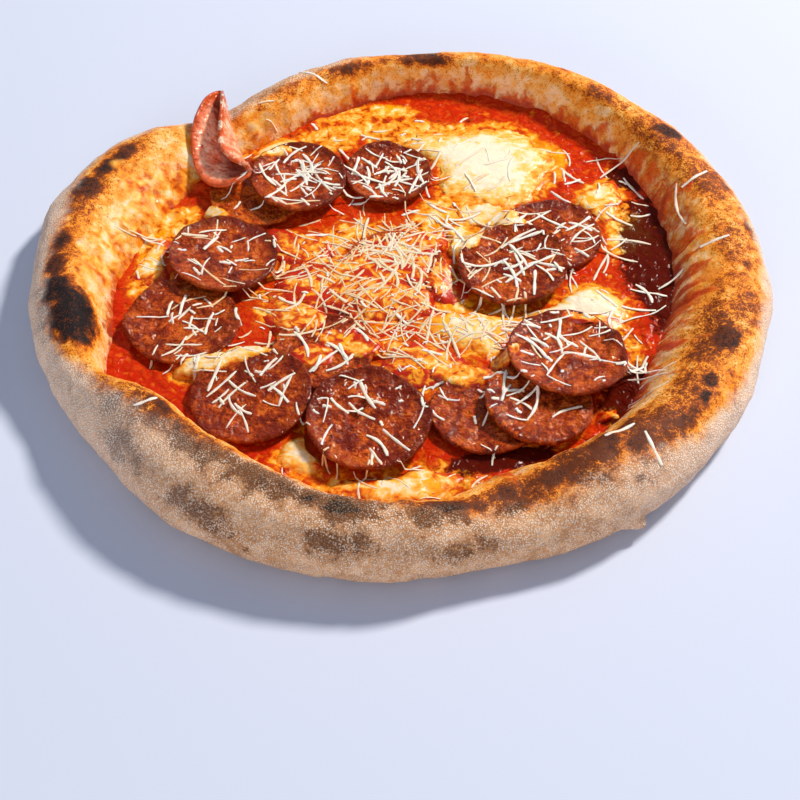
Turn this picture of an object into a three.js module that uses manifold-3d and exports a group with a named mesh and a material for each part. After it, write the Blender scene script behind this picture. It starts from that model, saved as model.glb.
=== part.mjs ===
// A wood-fired pepperoni pizza, 33 cm across, as it lies flat after baking.
// Millimetres and degrees, +Z up, origin under the middle of the dough, which rests on z = 0.
// The puffed rim and the thin dough under the sauce are one piece. The sauce, each patch of
// melted mozzarella and each slice of salami are pieces of their own, laid on one another.
// Grated cheese lies on all of them and is part of the piece that it fell on.

import * as THREE from 'three';
import { mergeVertices } from 'three/addons/utils/BufferGeometryUtils.js';
import Module from 'manifold-3d';

// ---------------------------------------------------------------- driving dimensions

const GAP = 0.35;               // clear space between two pieces that lie on each other
const BASE = 5;                 // thickness of the dough under the sauce
const SAUCE_TOP = 7.0;          // mean level of the sauce
const SAUCE_WAVE = 0.45;        // how far its lumps rise above that level
const SAUCE_EDGE = 1.1;         // height of its edge above the dough
const SAUCE_SIDES = 44;
const SAUCE_RINGS = [0.22, 0.45, 0.68, 0.86, 0.97];
const BED = SAUCE_TOP + SAUCE_WAVE + GAP;     // level that cheese and slices lie on
const SLICE = 2.2;              // thickness of a slice of salami

// The rim, cut across at places round the pizza, counted anticlockwise from the right:
// angle, radius of the outer edge, of the crest and of the inner foot, height of the crest
const RIM = [
  [0, 164, 147, 120, 27],
  [20, 169, 151, 130, 26],
  [40, 172, 155, 140, 25],
  [60, 174, 160, 147, 25],
  [75, 169, 157, 149, 25],
  [90, 163, 151, 143, 25],
  [104, 158, 145, 133, 26],
  [118, 151, 137, 125, 25],
  [128, 152, 138, 123, 18],     // the rim sinks where a folded slice lies across it
  [140, 162, 147, 121, 25],
  [158, 169, 151, 120, 27],
  [174, 164, 146, 125, 28],
  [188, 160, 141, 125, 32],     // charred puff that bulges inwards
  [202, 154, 139, 130, 26],     // crease beside it
  [214, 151, 128, 113, 33],
  [235, 151, 126, 110, 35],     // thickest stretch of the rim
  [255, 150, 129, 113, 33],
  [275, 148, 131, 115, 32],
  [291, 148, 129, 104, 27],     // dip with a long inner slope that the sauce ran up
  [306, 153, 130, 110, 34],     // second tall puff
  [325, 156, 138, 113, 31],
  [342, 159, 145, 112, 28],
];
const WIDEST_AT = 0.4;          // height of the widest point, as a share of the crest's height
const TUCK = 11;                // how far the rim curls under, from its edge to the floor
const WOBBLE = 0.7;             // small unevenness of the outer edge
const INNER_ROUND = 0.55;       // inner wall: 1 is a quarter round, 0 is a soft S
const RIM_STEPS = 88;           // facets round the rim
const LOWER_STEPS = 4;          // facets of each part of the section
const UPPER_STEPS = 5;
const INNER_STEPS = 7;

// A torn shred of dough that sticks out at the foot of the rim, and its outline in shares of
// its reach and its width
const FLAP = { at: 308, turn: 8, radius: 141, reach: 13.5, width: 15, height: 6, thickness: 3.5 };
const FLAP_OUTLINE = [[0, -0.5], [0.8, -0.3], [1, 0.02], [0.72, 0.2], [0, 0.5]];

// Slices of salami, the lowest first: middle, radius, rise of the curled edge, and the slope
// of the slice with the direction in which it climbs
const SLICES = [
  { x: -1, y: 21, radius: 23, cup: 0.3, slope: 0, climbs: 0 },
  { x: -32, y: -30, radius: 22, cup: 0.3, slope: 0, climbs: 0 },
  { x: -66, y: 70, radius: 22.5, cup: 0.6, slope: 2, climbs: 120 },
  { x: 70.5, y: 41, radius: 23, cup: 0.8, slope: 1, climbs: 200 },
  { x: -94, y: -13, radius: 25, cup: 0.6, slope: 0, climbs: 0 },
  { x: 37, y: -63.5, radius: 23.5, cup: 0.4, slope: 0, climbs: 0 },
  { x: -61.5, y: -56.5, radius: 25.5, cup: 0.9, slope: 4, climbs: 45 },
  { x: -12, y: -71.7, radius: 26, cup: 1.6, slope: 2.5, climbs: 116 },
  { x: -4.5, y: 82, radius: 20.5, cup: 2.6, slope: 1, climbs: 90 },
  { x: -46.5, y: 75, radius: 22.6, cup: 2.2, slope: 3, climbs: 170 },
  { x: -78.5, y: 25.5, radius: 24.3, cup: 1.8, slope: 5, climbs: 200 },
  { x: 51.7, y: 19, radius: 24.3, cup: 1.2, slope: 4, climbs: 50 },
  { x: 59, y: -62, radius: 22.5, cup: 0.5, slope: 4.5, climbs: 180 },
  { x: 72.5, y: -37.5, radius: 25.5, cup: 2.4, slope: 6, climbs: 240 },
];
const SLICE_SIDES = 22;
const SLICE_RINGS = [0.5, 0.82, 1];

// The slice folded like a shell. Its foot rests on another slice and its left leaf lies up the
// inside of the rim. Its right leaf bends over the fold, and its head sticks out over the crest.
const FOLD = {
  foot: [-70.5, 68, 19.5],      // the keel of the fold, as a curve from its foot
  sag: [-79, 92.5, 2],          // past this point that it bends towards
  head: [-86.5, 120.5, 29],     // to its head beyond the crest
  half: { left: 20.5, right: 20 },  // from the keel to the edge of each leaf, laid flat
  bend: [4, 2.6],               // radius of the fold at its foot and at its head
  left: [-14, 39],              // angle through which the left leaf turns up there
  right: [159, 98],             // and the right leaf
  squareness: 2.3,              // a round slice would have 2
  clear: 21,                    // no grated cheese nearer than this to the keel
};
const FOLD_SIDES = 26;
const FOLD_RINGS = [0.14, 0.3, 0.5, 0.75, 1];

// Patches of melted mozzarella: middle, half length, half width, turn and thickness
const CHEESES = [
  { name: 'back', x: 40, y: 92, long: 40, wide: 29, turn: -12, thick: 3.0, sides: 26 },
  { name: 'centre', x: -30, y: 8, long: 37, wide: 25, turn: 8, thick: 2.2, sides: 26 },
  { name: 'front', x: 4, y: -103, long: 37, wide: 10.5, turn: 4, thick: 2.6, sides: 24 },
  { name: 'right', x: 80, y: -4, long: 25, wide: 13, turn: 6, thick: 3.0, sides: 20 },
  { name: 'middle', x: 33, y: -16, long: 21, wide: 13, turn: -10, thick: 2.4, sides: 20 },
  { name: 'left', x: -112, y: 27, long: 17, wide: 13, turn: 80, thick: 2.2, sides: 18 },
  { name: 'left_low', x: -78, y: -37, long: 17, wide: 6.5, turn: 12, thick: 2.0, sides: 16 },
  { name: 'front_left', x: -38, y: -85, long: 13, wide: 10, turn: 60, thick: 2.4, sides: 16 },
  { name: 'far_right', x: 95, y: 66, long: 15, wide: 11, turn: 55, thick: 2.2, sides: 16 },
  { name: 'back_left', x: -62, y: 103, long: 15, wide: 6.5, turn: 22, thick: 2.2, sides: 16 },
  { name: 'front_right', x: 91, y: -66, long: 10, wide: 5.5, turn: 20, thick: 1.8, sides: 14 },
  { name: 'low_middle', x: 9, y: -34, long: 24, wide: 11, turn: -12, thick: 2.0, sides: 18 },
];
const CHEESE_EDGE = 0.7;        // thickness at the edge of a patch
const CHEESE_CLEAR = 0.7;       // clear space between a patch and a slice beside it

// Grated cheese: strips of one section, bent once, strewn thickest over the middle
const STRIP = { width: 1.5, height: 1.2, sunk: 0.55, shortest: 8, longest: 19, clear: 1.3 };
const STREWN = 80;              // strips on the topping
const HEAPS = [                 // where they fell: middle, spread and share
  { x: -6, y: 8, dx: 40, dy: 34, share: 0.46 },
  { x: -26, y: 77, dx: 27, dy: 10, share: 0.18 },
  { x: 62, y: 12, dx: 32, dy: 40, share: 0.18 },
  { x: 0, y: -20, dx: 72, dy: 52, share: 0.18 },
];
const RIM_STRIPS = [            // single strips on the rim: middle, turn and length
  { x: 88, y: -93.6, turn: 27, length: 14 },
  { x: 100, y: -101, turn: -64, length: 14 },
  { x: -100.5, y: -80, turn: 24, length: 10 },
  { x: -42, y: 138, turn: -28, length: 16 },
  { x: 137, y: 63, turn: 35, length: 15 },
  { x: 141, y: 22, turn: 12, length: 13 },
];
const SEED = 29;

const COLOURS = { crust: 0xc48a4c, sauce: 0xa82410, cheese: 0xf1dfae, salami: 0x9a3a1e };

// ---------------------------------------------------------------- small helpers

const rad = THREE.MathUtils.degToRad;
const deg = THREE.MathUtils.radToDeg;
const clamp = THREE.MathUtils.clamp;

function turnFrom(a, b) {
  return ((b - a) % 360 + 360) % 360;
}

// Seeded random numbers between 0 and 1
function randomSource(seed) {
  let state = seed >>> 0;
  return () => {
    state = (Math.imul(state, 1664525) + 1013904223) >>> 0;
    return state / 4294967296;
  };
}

// A closed skin over rings of points: cap, rings, cap. Each ring has the same number of points,
// anticlockwise seen from above, and the rings run from the middle of the top, down to the
// middle of the underside.
function ringSolid(topMiddle, rings, underMiddle) {
  const count = rings[0].length;
  const points = [topMiddle, ...rings.flat(), underMiddle];
  const faces = [];
  for (let i = 0; i < count; i += 1) {
    const j = (i + 1) % count;
    faces.push(0, 1 + i, 1 + j);
    for (let k = 0; k < rings.length - 1; k += 1) {
      const a = 1 + k * count;
      const b = a + count;
      faces.push(a + i, b + i, b + j, a + i, b + j, a + j);
    }
    const last = 1 + (rings.length - 1) * count;
    faces.push(last + j, last + i, points.length - 1);
  }
  const geometry = new THREE.BufferGeometry();
  geometry.setAttribute('position', new THREE.Float32BufferAttribute(points.flat(), 3));
  geometry.setIndex(faces);
  return geometry;
}

// ---------------------------------------------------------------- the rim and the dough

// Radii and height of the rim's section at any angle, by a smooth curve through RIM
function rimAt(angle) {
  const place = turnFrom(0, angle);
  const count = RIM.length;
  let i = count - 1;
  while (RIM[i][0] > place) i -= 1;
  const rows = [-1, 0, 1, 2].map((step) => RIM[(i + step + count) % count]);
  const [before, here, next, after] = rows;
  const span = turnFrom(here[0], next[0]);
  const u = turnFrom(here[0], place) / span;
  const spanBefore = turnFrom(before[0], here[0]);
  const spanAfter = turnFrom(next[0], after[0]);
  const value = (k) => {
    const startSlope = (next[k] - before[k]) / (span + spanBefore) * span;
    const endSlope = (after[k] - here[k]) / (span + spanAfter) * span;
    const u2 = u * u;
    const u3 = u2 * u;
    return (2 * u3 - 3 * u2 + 1) * here[k] + (u3 - 2 * u2 + u) * startSlope
      + (3 * u2 - 2 * u3) * next[k] + (u3 - u2) * endSlope;
  };
  const wave = Math.sin(rad(angle) * 11 + 1) + Math.sin(rad(angle) * 17 + 2.4) * 0.6;
  return {
    outer: value(1) + WOBBLE * wave * 0.6,
    crest: value(2),
    foot: value(3),
    height: value(4),
  };
}

// Radius and height on the inner wall, from the crest (0) down to the foot (1)
function innerWall(rim, u) {
  const round = INNER_ROUND;
  const across = round * Math.sin(u * Math.PI / 2) + (1 - round) * u;
  const level = round * Math.cos(u * Math.PI / 2) + (1 - round) * (0.5 + 0.5 * Math.cos(u * Math.PI));
  return [rim.crest - (rim.crest - rim.foot) * across, BASE + (rim.height - BASE) * level];
}

// Level of the dough's upper side at a place on the pizza
function doughTop(x, y) {
  const radius = Math.hypot(x, y);
  const rim = rimAt(deg(Math.atan2(y, x)));
  if (radius <= rim.foot) return BASE;
  if (radius >= rim.crest) {
    const out = clamp((radius - rim.crest) / (rim.outer - rim.crest), 0, 1);
    const middle = WIDEST_AT * rim.height;
    return middle + (rim.height - middle) * Math.sqrt(1 - out * out);
  }
  let low = 0;
  let high = 1;
  for (let i = 0; i < 24; i += 1) {
    const u = (low + high) / 2;
    if (innerWall(rim, u)[0] > radius) low = u;
    else high = u;
  }
  return innerWall(rim, low)[1];
}

function makeDough() {
  const sections = [];
  for (let i = 0; i < RIM_STEPS; i += 1) {
    const angle = (i * 360) / RIM_STEPS;
    const rim = rimAt(angle);
    const middle = WIDEST_AT * rim.height;
    const under = rim.outer - TUCK;
    const section = [];
    for (let k = INNER_STEPS; k >= 0; k -= 1) {
      section.push(innerWall(rim, k / INNER_STEPS));
    }
    for (let k = 1; k <= UPPER_STEPS; k += 1) {
      const a = (k / UPPER_STEPS) * Math.PI / 2;
      section.push([
        rim.crest + (rim.outer - rim.crest) * Math.sin(a),
        middle + (rim.height - middle) * Math.cos(a),
      ]);
    }
    for (let k = 1; k <= LOWER_STEPS; k += 1) {
      const a = (k / LOWER_STEPS) * Math.PI / 2;
      section.push([under + TUCK * Math.cos(a), middle - middle * Math.sin(a)]);
    }
    sections.push(section.map(([radius, z]) => [
      radius * Math.cos(rad(angle)), radius * Math.sin(rad(angle)), z,
    ]));
  }
  const rings = sections[0].map((_, k) => sections.map((section) => section[k]));
  return ringSolid([0, 0, BASE], rings, [0, 0, 0]);
}

// The torn shred of dough, a thin wedge with its root inside the rim
function makeFlap() {
  const { at, turn, radius, reach, width, height, thickness } = FLAP;
  const outline = FLAP_OUTLINE.map(([u, v]) => new THREE.Vector2(u * reach, v * width));
  const shape = new THREE.Shape(outline);
  const wedge = new THREE.ExtrudeGeometry(shape, { depth: thickness, bevelEnabled: false });
  wedge.rotateZ(rad(at + turn));
  wedge.translate(radius * Math.cos(rad(at)), radius * Math.sin(rad(at)), height - thickness / 2);
  return wedge;
}

// ---------------------------------------------------------------- the sauce

function sauceEdge(angle) {
  return rimAt(angle).foot - 1.4 + 0.6 * Math.sin(rad(angle) * 13);
}

function sauceTop(x, y) {
  const wave = Math.sin(x * 0.21 + 1.3) * Math.cos(y * 0.17 - 0.4) + 0.8 * Math.sin(x * 0.09 - y * 0.13);
  return SAUCE_TOP + SAUCE_WAVE * wave / 1.8;
}

function makeSauce() {
  const ring = (share, level) => Array.from({ length: SAUCE_SIDES }, (_, i) => {
    const angle = (i * 360) / SAUCE_SIDES;
    const radius = share * sauceEdge(angle);
    const x = radius * Math.cos(rad(angle));
    const y = radius * Math.sin(rad(angle));
    return [x, y, level(x, y)];
  });
  const rings = SAUCE_RINGS.map((share) => ring(share, sauceTop));
  rings.push(ring(1, () => BASE + SAUCE_EDGE), ring(0.995, () => BASE + GAP));
  return ringSolid([0, 0, sauceTop(0, 0)], rings, [0, 0, BASE + GAP]);
}

// ---------------------------------------------------------------- the slices of salami

// Level of a slice's upper side above or below its middle
function sliceRise(slice, x, y) {
  const dx = x - slice.x;
  const dy = y - slice.y;
  const share = Math.hypot(dx, dy) / slice.radius;
  const climb = dx * Math.cos(rad(slice.climbs)) + dy * Math.sin(rad(slice.climbs));
  return climb * Math.tan(rad(slice.slope)) + slice.cup * share ** 3;
}

function onSlice(slice, x, y, margin) {
  return Math.hypot(x - slice.x, y - slice.y) < slice.radius + margin;
}

// Each slice is lowered until it touches what is under it. Its level is that of the middle of
// its upper side.
function laySlices() {
  SLICES.forEach((slice, index) => {
    let level = 0;
    for (let k = 0; k <= 8; k += 1) {
      for (let i = 0; i < 40; i += 1) {
        const radius = (slice.radius + 0.4) * k / 8;
        const x = slice.x + radius * Math.cos(i * Math.PI / 20);
        const y = slice.y + radius * Math.sin(i * Math.PI / 20);
        let under = Math.max(BED, doughTop(x, y) + GAP);
        SLICES.slice(0, index).forEach((lower) => {
          if (onSlice(lower, x, y, 0.8)) {
            under = Math.max(under, lower.level + sliceRise(lower, x, y) + GAP + 0.1);
          }
        });
        level = Math.max(level, under + SLICE - sliceRise(slice, x, y));
      }
    }
    slice.level = level;
  });
}

function makeSlice(slice) {
  const ring = (share, drop) => Array.from({ length: SLICE_SIDES }, (_, i) => {
    const angle = (i * 2 * Math.PI) / SLICE_SIDES;
    const x = slice.x + share * slice.radius * Math.cos(angle);
    const y = slice.y + share * slice.radius * Math.sin(angle);
    return [x, y, slice.level + sliceRise(slice, x, y) - drop];
  });
  const rings = SLICE_RINGS.map((share) => ring(share, 0));
  rings.push(ring(1, SLICE), ring(0.7, SLICE));
  return ringSolid([slice.x, slice.y, slice.level], rings, [slice.x, slice.y, slice.level - SLICE]);
}

// The folded slice: a rounded sheet bent to a U round its keel, which runs up the rim
function makeFold() {
  const keel = new THREE.QuadraticBezierCurve3(
    new THREE.Vector3(...FOLD.foot), new THREE.Vector3(...FOLD.sag), new THREE.Vector3(...FOLD.head),
  );
  // s runs along the keel and q across it, both from -1 to 1
  const place = (s, q, inwards) => {
    const share = (s + 1) / 2;
    const along = keel.getTangent(share);
    const side = along.clone().cross(new THREE.Vector3(0, 0, 1)).normalize();
    const up = side.clone().cross(along).normalize();
    const bend = THREE.MathUtils.lerp(...FOLD.bend, share);
    const spread = rad(THREE.MathUtils.lerp(...(q < 0 ? FOLD.left : FOLD.right), share));
    const arc = Math.abs(q) * (q < 0 ? FOLD.half.left : FOLD.half.right);
    const angle = Math.min(arc / bend, spread);
    const straight = Math.max(arc - bend * spread, 0);
    const across = (bend - inwards) * Math.sin(angle) + straight * Math.cos(angle);
    const rise = bend - (bend - inwards) * Math.cos(angle) + straight * Math.sin(angle);
    return keel.getPoint(share)
      .addScaledVector(side, Math.sign(q) * across)
      .addScaledVector(up, rise)
      .toArray();
  };
  const rounded = (value) => Math.sign(value) * Math.abs(value) ** (2 / FOLD.squareness);
  const ring = (share, inwards) => Array.from({ length: FOLD_SIDES }, (_, i) => {
    const angle = (i * 2 * Math.PI) / FOLD_SIDES;
    return place(share * rounded(Math.sin(angle)), share * rounded(Math.cos(angle)), inwards);
  });
  const rings = FOLD_RINGS.map((share) => ring(share, SLICE));
  rings.push(...FOLD_RINGS.toReversed().map((share) => ring(share, 0)));
  return ringSolid(place(0, 0, SLICE), rings, place(0, 0, 0));
}

// ---------------------------------------------------------------- the mozzarella

// Distance from a patch's middle to its edge, in a direction. The edge is wavy, and it stops
// short of every slice and of the rim.
function cheeseEdge(patch, angle) {
  const local = angle - rad(patch.turn);
  const oval = 1 / Math.hypot(Math.cos(local) / patch.long, Math.sin(local) / patch.wide);
  const phase = patch.x * 0.7 + patch.y * 0.3;
  const wavy = oval * (1 + 0.1 * Math.sin(3 * angle + phase) + 0.07 * Math.sin(5 * angle - phase));
  let reach = 2;
  while (reach < wavy) {
    const x = patch.x + (reach + 1.2) * Math.cos(angle);
    const y = patch.y + (reach + 1.2) * Math.sin(angle);
    const onRim = Math.hypot(x, y) > rimAt(deg(Math.atan2(y, x))).foot - 2;
    if (onRim || SLICES.some((slice) => onSlice(slice, x, y, CHEESE_CLEAR))) break;
    reach += 0.4;
  }
  return Math.min(reach, wavy);
}

function cheeseTop(patch, x, y) {
  const angle = Math.atan2(y - patch.y, x - patch.x);
  const share = Math.hypot(x - patch.x, y - patch.y) / cheeseEdge(patch, angle);
  if (share > 1) return null;
  const dome = (1 - share ** 2.4) ** 0.75;
  const lumps = 0.25 * Math.sin(x * 0.33) * Math.sin(y * 0.41 + 1) * dome;
  return BED + CHEESE_EDGE + (patch.thick - CHEESE_EDGE) * dome + lumps;
}

function makeCheese(patch) {
  const ring = (share, level) => Array.from({ length: patch.sides }, (_, i) => {
    const angle = (i * 2 * Math.PI) / patch.sides;
    const reach = share * cheeseEdge(patch, angle);
    const x = patch.x + reach * Math.cos(angle);
    const y = patch.y + reach * Math.sin(angle);
    return [x, y, level ?? cheeseTop(patch, x, y)];
  });
  const rings = [ring(0.45), ring(0.8), ring(0.995, BED + CHEESE_EDGE * 0.8), ring(0.99, BED)];
  return ringSolid([patch.x, patch.y, cheeseTop(patch, patch.x, patch.y)], rings, [patch.x, patch.y, BED]);
}

// ---------------------------------------------------------------- the grated cheese

// What lies uppermost at a place, and its level there
function uppermost(x, y) {
  for (let i = SLICES.length - 1; i >= 0; i -= 1) {
    const slice = SLICES[i];
    if (onSlice(slice, x, y, 0)) {
      return { host: sliceName(i), level: slice.level + sliceRise(slice, x, y) };
    }
  }
  for (const patch of CHEESES) {
    const level = cheeseTop(patch, x, y);
    if (level !== null) return { host: cheeseName(patch), level };
  }
  const rim = rimAt(deg(Math.atan2(y, x)));
  if (Math.hypot(x, y) > rim.foot - 2.5) return { host: 'crust', level: doughTop(x, y) };
  return { host: 'tomato_sauce', level: sauceTop(x, y) };
}

// Whether a place is close to the folded slice, seen from above
function nearFold(x, y) {
  const [x0, y0] = FOLD.foot;
  const [x1, y1] = FOLD.head;
  const [dx, dy] = [x1 - x0, y1 - y0];
  const along = clamp(((x - x0) * dx + (y - y0) * dy) / (dx * dx + dy * dy), 0, 1);
  return Math.hypot(x - x0 - along * dx, y - y0 - along * dy) < FOLD.clear;
}

// Whether a strip's whole footprint, with a margin, lies on one piece
function liesOnOne(points, host) {
  const margin = STRIP.width / 2 + STRIP.clear;
  const around = [[0, 0], [margin, 0], [-margin, 0], [0, margin], [0, -margin]];
  return points.every(([x, y]) => !nearFold(x, y) && around.every(
    ([dx, dy]) => uppermost(x + dx, y + dy).host === host,
  ));
}

// The middle line of a strip: three points, with its two ends on either side of its middle
function stripLine(x, y, turn, length, kink) {
  const half = length / 2;
  const a = rad(turn - kink);
  const b = rad(turn + kink);
  return [
    [x - half * Math.cos(a), y - half * Math.sin(a)],
    [x, y],
    [x + half * Math.cos(b), y + half * Math.sin(b)],
  ];
}

function makeStrip(line) {
  const { width, height, sunk } = STRIP;
  const points = [];
  line.forEach(([x, y], k) => {
    const [x0, y0] = line[Math.max(k - 1, 0)];
    const [x1, y1] = line[Math.min(k + 1, 2)];
    const length = Math.hypot(x1 - x0, y1 - y0);
    const nx = -(y1 - y0) / length * width / 2;
    const ny = (x1 - x0) / length * width / 2;
    const low = uppermost(x, y).level - sunk;
    points.push([x + nx, y + ny, low], [x - nx, y - ny, low]);
    points.push([x - nx, y - ny, low + height], [x + nx, y + ny, low + height]);
  });
  const faces = [0, 1, 2, 0, 2, 3, 8, 10, 9, 8, 11, 10];
  for (let k = 0; k < 2; k += 1) {
    for (let i = 0; i < 4; i += 1) {
      const a = k * 4 + i;
      const b = k * 4 + ((i + 1) % 4);
      faces.push(a, b + 4, b, a, a + 4, b + 4);
    }
  }
  const geometry = new THREE.BufferGeometry();
  geometry.setAttribute('position', new THREE.Float32BufferAttribute(points.flat(), 3));
  geometry.setIndex(faces);
  return geometry;
}

// Strips by the name of the piece that they lie on, the longest strewn first
function strewCheese() {
  const random = randomSource(SEED);
  const bell = () => random() + random() + random() + random() - 2;
  const strips = new Map();
  const keep = (host, line) => {
    if (!strips.has(host)) strips.set(host, []);
    strips.get(host).push(makeStrip(line));
  };
  RIM_STRIPS.forEach(({ x, y, turn, length }) => keep('crust', stripLine(x, y, turn, length, 5)));
  let laid = 0;
  for (let tries = 0; laid < STREWN && tries < 20000; tries += 1) {
    let pick = random();
    const heap = HEAPS.find(({ share }) => (pick -= share) < 0) ?? HEAPS[0];
    const x = heap.x + heap.dx * bell() * 1.4;
    const y = heap.y + heap.dy * bell() * 1.4;
    const length = STRIP.longest - (STRIP.longest - STRIP.shortest) * (laid / STREWN);
    const line = stripLine(x, y, random() * 180, length, random() * 24 - 8);
    const { host } = uppermost(x, y);
    if (host !== 'crust' && liesOnOne(line, host)) {
      keep(host, line);
      laid += 1;
    }
  }
  return strips;
}

// ---------------------------------------------------------------- joining

const wasm = await Module();
wasm.setup();

function toSolid(geometry) {
  const bare = geometry.clone();
  bare.deleteAttribute('normal');
  bare.deleteAttribute('uv');
  const merged = mergeVertices(bare, 1e-4);
  return new wasm.Manifold(new wasm.Mesh({
    numProp: 3,
    vertProperties: new Float32Array(merged.attributes.position.array),
    triVerts: new Uint32Array(merged.index.array),
  }));
}

function joined(body, additions) {
  if (additions.length === 0) return body;
  let solid = toSolid(body);
  additions.forEach((addition) => {
    solid = solid.add(toSolid(addition));
  });
  const mesh = solid.getMesh();
  const geometry = new THREE.BufferGeometry();
  geometry.setAttribute('position', new THREE.Float32BufferAttribute(mesh.vertProperties, 3));
  geometry.setIndex(Array.from(mesh.triVerts));
  return geometry;
}

// ---------------------------------------------------------------- the pizza

function sliceName(index) {
  return `salami_${index + 1}`;
}

function cheeseName(patch) {
  return `mozzarella_${patch.name}`;
}

laySlices();
const strips = strewCheese();
const pizza = new THREE.Group();

function addPiece(name, geometry, colour, roughness) {
  const shaped = geometry.clone();
  shaped.computeVertexNormals();
  const material = new THREE.MeshStandardMaterial({ color: colour, roughness, metalness: 0 });
  const mesh = new THREE.Mesh(shaped, material);
  mesh.name = name;
  pizza.add(mesh);
}

addPiece('crust', joined(makeDough(), [makeFlap(), ...(strips.get('crust') ?? [])]), COLOURS.crust, 0.85);
addPiece('tomato_sauce', joined(makeSauce(), strips.get('tomato_sauce') ?? []), COLOURS.sauce, 0.3);
CHEESES.forEach((patch) => {
  const name = cheeseName(patch);
  addPiece(name, joined(makeCheese(patch), strips.get(name) ?? []), COLOURS.cheese, 0.4);
});
SLICES.forEach((slice, index) => {
  const name = sliceName(index);
  addPiece(name, joined(makeSlice(slice), strips.get(name) ?? []), COLOURS.salami, 0.35);
});
addPiece('salami_folded', makeFold(), COLOURS.salami, 0.35);

export default pizza;
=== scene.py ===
# A wood-fired pepperoni pizza, put together from the dough upwards: rim, sauce, mozzarella, slices
# of salami, the folded slice and the grated cheese, each laid on what was there before.

import math
import bpy
import numpy as np
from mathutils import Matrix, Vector
from mathutils.bvhtree import BVHTree


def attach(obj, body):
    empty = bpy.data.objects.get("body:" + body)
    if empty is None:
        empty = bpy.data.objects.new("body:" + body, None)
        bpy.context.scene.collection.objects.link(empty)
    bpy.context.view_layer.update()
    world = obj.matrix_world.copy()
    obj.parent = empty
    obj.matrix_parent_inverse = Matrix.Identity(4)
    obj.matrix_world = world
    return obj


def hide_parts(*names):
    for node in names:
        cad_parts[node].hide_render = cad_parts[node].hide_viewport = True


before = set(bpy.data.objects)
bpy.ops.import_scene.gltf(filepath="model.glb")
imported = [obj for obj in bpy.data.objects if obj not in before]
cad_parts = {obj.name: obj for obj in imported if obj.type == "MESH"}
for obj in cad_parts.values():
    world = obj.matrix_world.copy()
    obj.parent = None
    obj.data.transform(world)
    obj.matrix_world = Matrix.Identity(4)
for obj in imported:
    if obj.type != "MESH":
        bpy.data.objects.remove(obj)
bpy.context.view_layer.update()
MM = 0.001

# ------------------------------------------------------------------ the view and the light
# The pizza lies on a pale table. It is seen from 49.5 degrees above the table. A lamp stands
# behind it on the right, a weak one in front of it on the left, and the room is slightly blue.

ELEVATION = math.radians(49.5)
DISTANCE = 700 * MM
LOOK_AT = Vector((1, -50, 0)) * MM
FOCAL_LENGTH = 73.8
SENSOR_WIDTH = 36
NEAREST_SEEN = 10 * MM
TABLE_COLOUR = (0.60, 0.65, 0.79)
TABLE_ROUGHNESS = 0.9
TABLE_HALF = 4
TABLE_BELOW = 0.5 * MM
ROOM_COLOUR = (0.75, 0.865, 1.11)
ROOM_STRENGTH = 0.315
# Two lamps: place, width, power and colour
LAMPS = [
    ((1490, 1253, 1836), 374, 89, (1.05, 0.985, 0.89)),
    ((-650, -2100, 800), 1100, 19, (1.0, 0.96, 0.93)),
]


def add_object(name, data):
    """A new object at the origin of the scene."""
    thing = bpy.data.objects.new(name, data)
    bpy.context.collection.objects.link(thing)
    return thing


def aim(thing, target):
    """Turns a camera or a lamp so that it looks at a place."""
    direction = target - thing.location
    thing.rotation_euler = direction.to_track_quat("-Z", "Y").to_euler()


camera = add_object("camera", bpy.data.cameras.new("camera"))
camera.data.sensor_width = SENSOR_WIDTH
camera.data.lens = FOCAL_LENGTH
camera.data.clip_start = NEAREST_SEEN
camera.location = LOOK_AT + DISTANCE * Vector((0, -math.cos(ELEVATION), math.sin(ELEVATION)))
aim(camera, LOOK_AT)
bpy.context.scene.camera = camera

for place, width, power, colour in LAMPS:
    lamp = add_object("lamp", bpy.data.lights.new("lamp", "AREA"))
    lamp.data.shape = "DISK"
    lamp.data.size = width * MM
    lamp.data.energy = power
    lamp.data.color = colour
    lamp.location = Vector(place) * MM
    aim(lamp, Vector((0, 0, 0)))

world = bpy.data.worlds.new("room")
world.use_nodes = True
room = world.node_tree.nodes["Background"]
room.inputs["Color"].default_value = (*ROOM_COLOUR, 1)
room.inputs["Strength"].default_value = ROOM_STRENGTH
bpy.context.scene.world = world
bpy.context.scene.view_settings.view_transform = "Standard"

table_mesh = bpy.data.meshes.new("table")
corners = ((-1, -1), (1, -1), (1, 1), (-1, 1))
corners = [(x * TABLE_HALF, y * TABLE_HALF, -TABLE_BELOW) for x, y in corners]
table_mesh.from_pydata(corners, [], [(0, 1, 2, 3)])
table = add_object("table", table_mesh)
table_paint = bpy.data.materials.new("table")
table_paint.use_nodes = True
table_finish = table_paint.node_tree.nodes["Principled BSDF"].inputs
table_finish["Base Color"].default_value = (*TABLE_COLOUR, 1)
table_finish["Roughness"].default_value = TABLE_ROUGHNESS
table.data.materials.append(table_paint)

# ------------------------------------------------------------------ the dough
# The rim is a ring of puffed dough round a thin base. Its outer wall is dusted with semolina,
# its crest is golden with brown blisters and a few charred puffs, and sauce has run up the
# inner wall in streaks.


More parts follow.
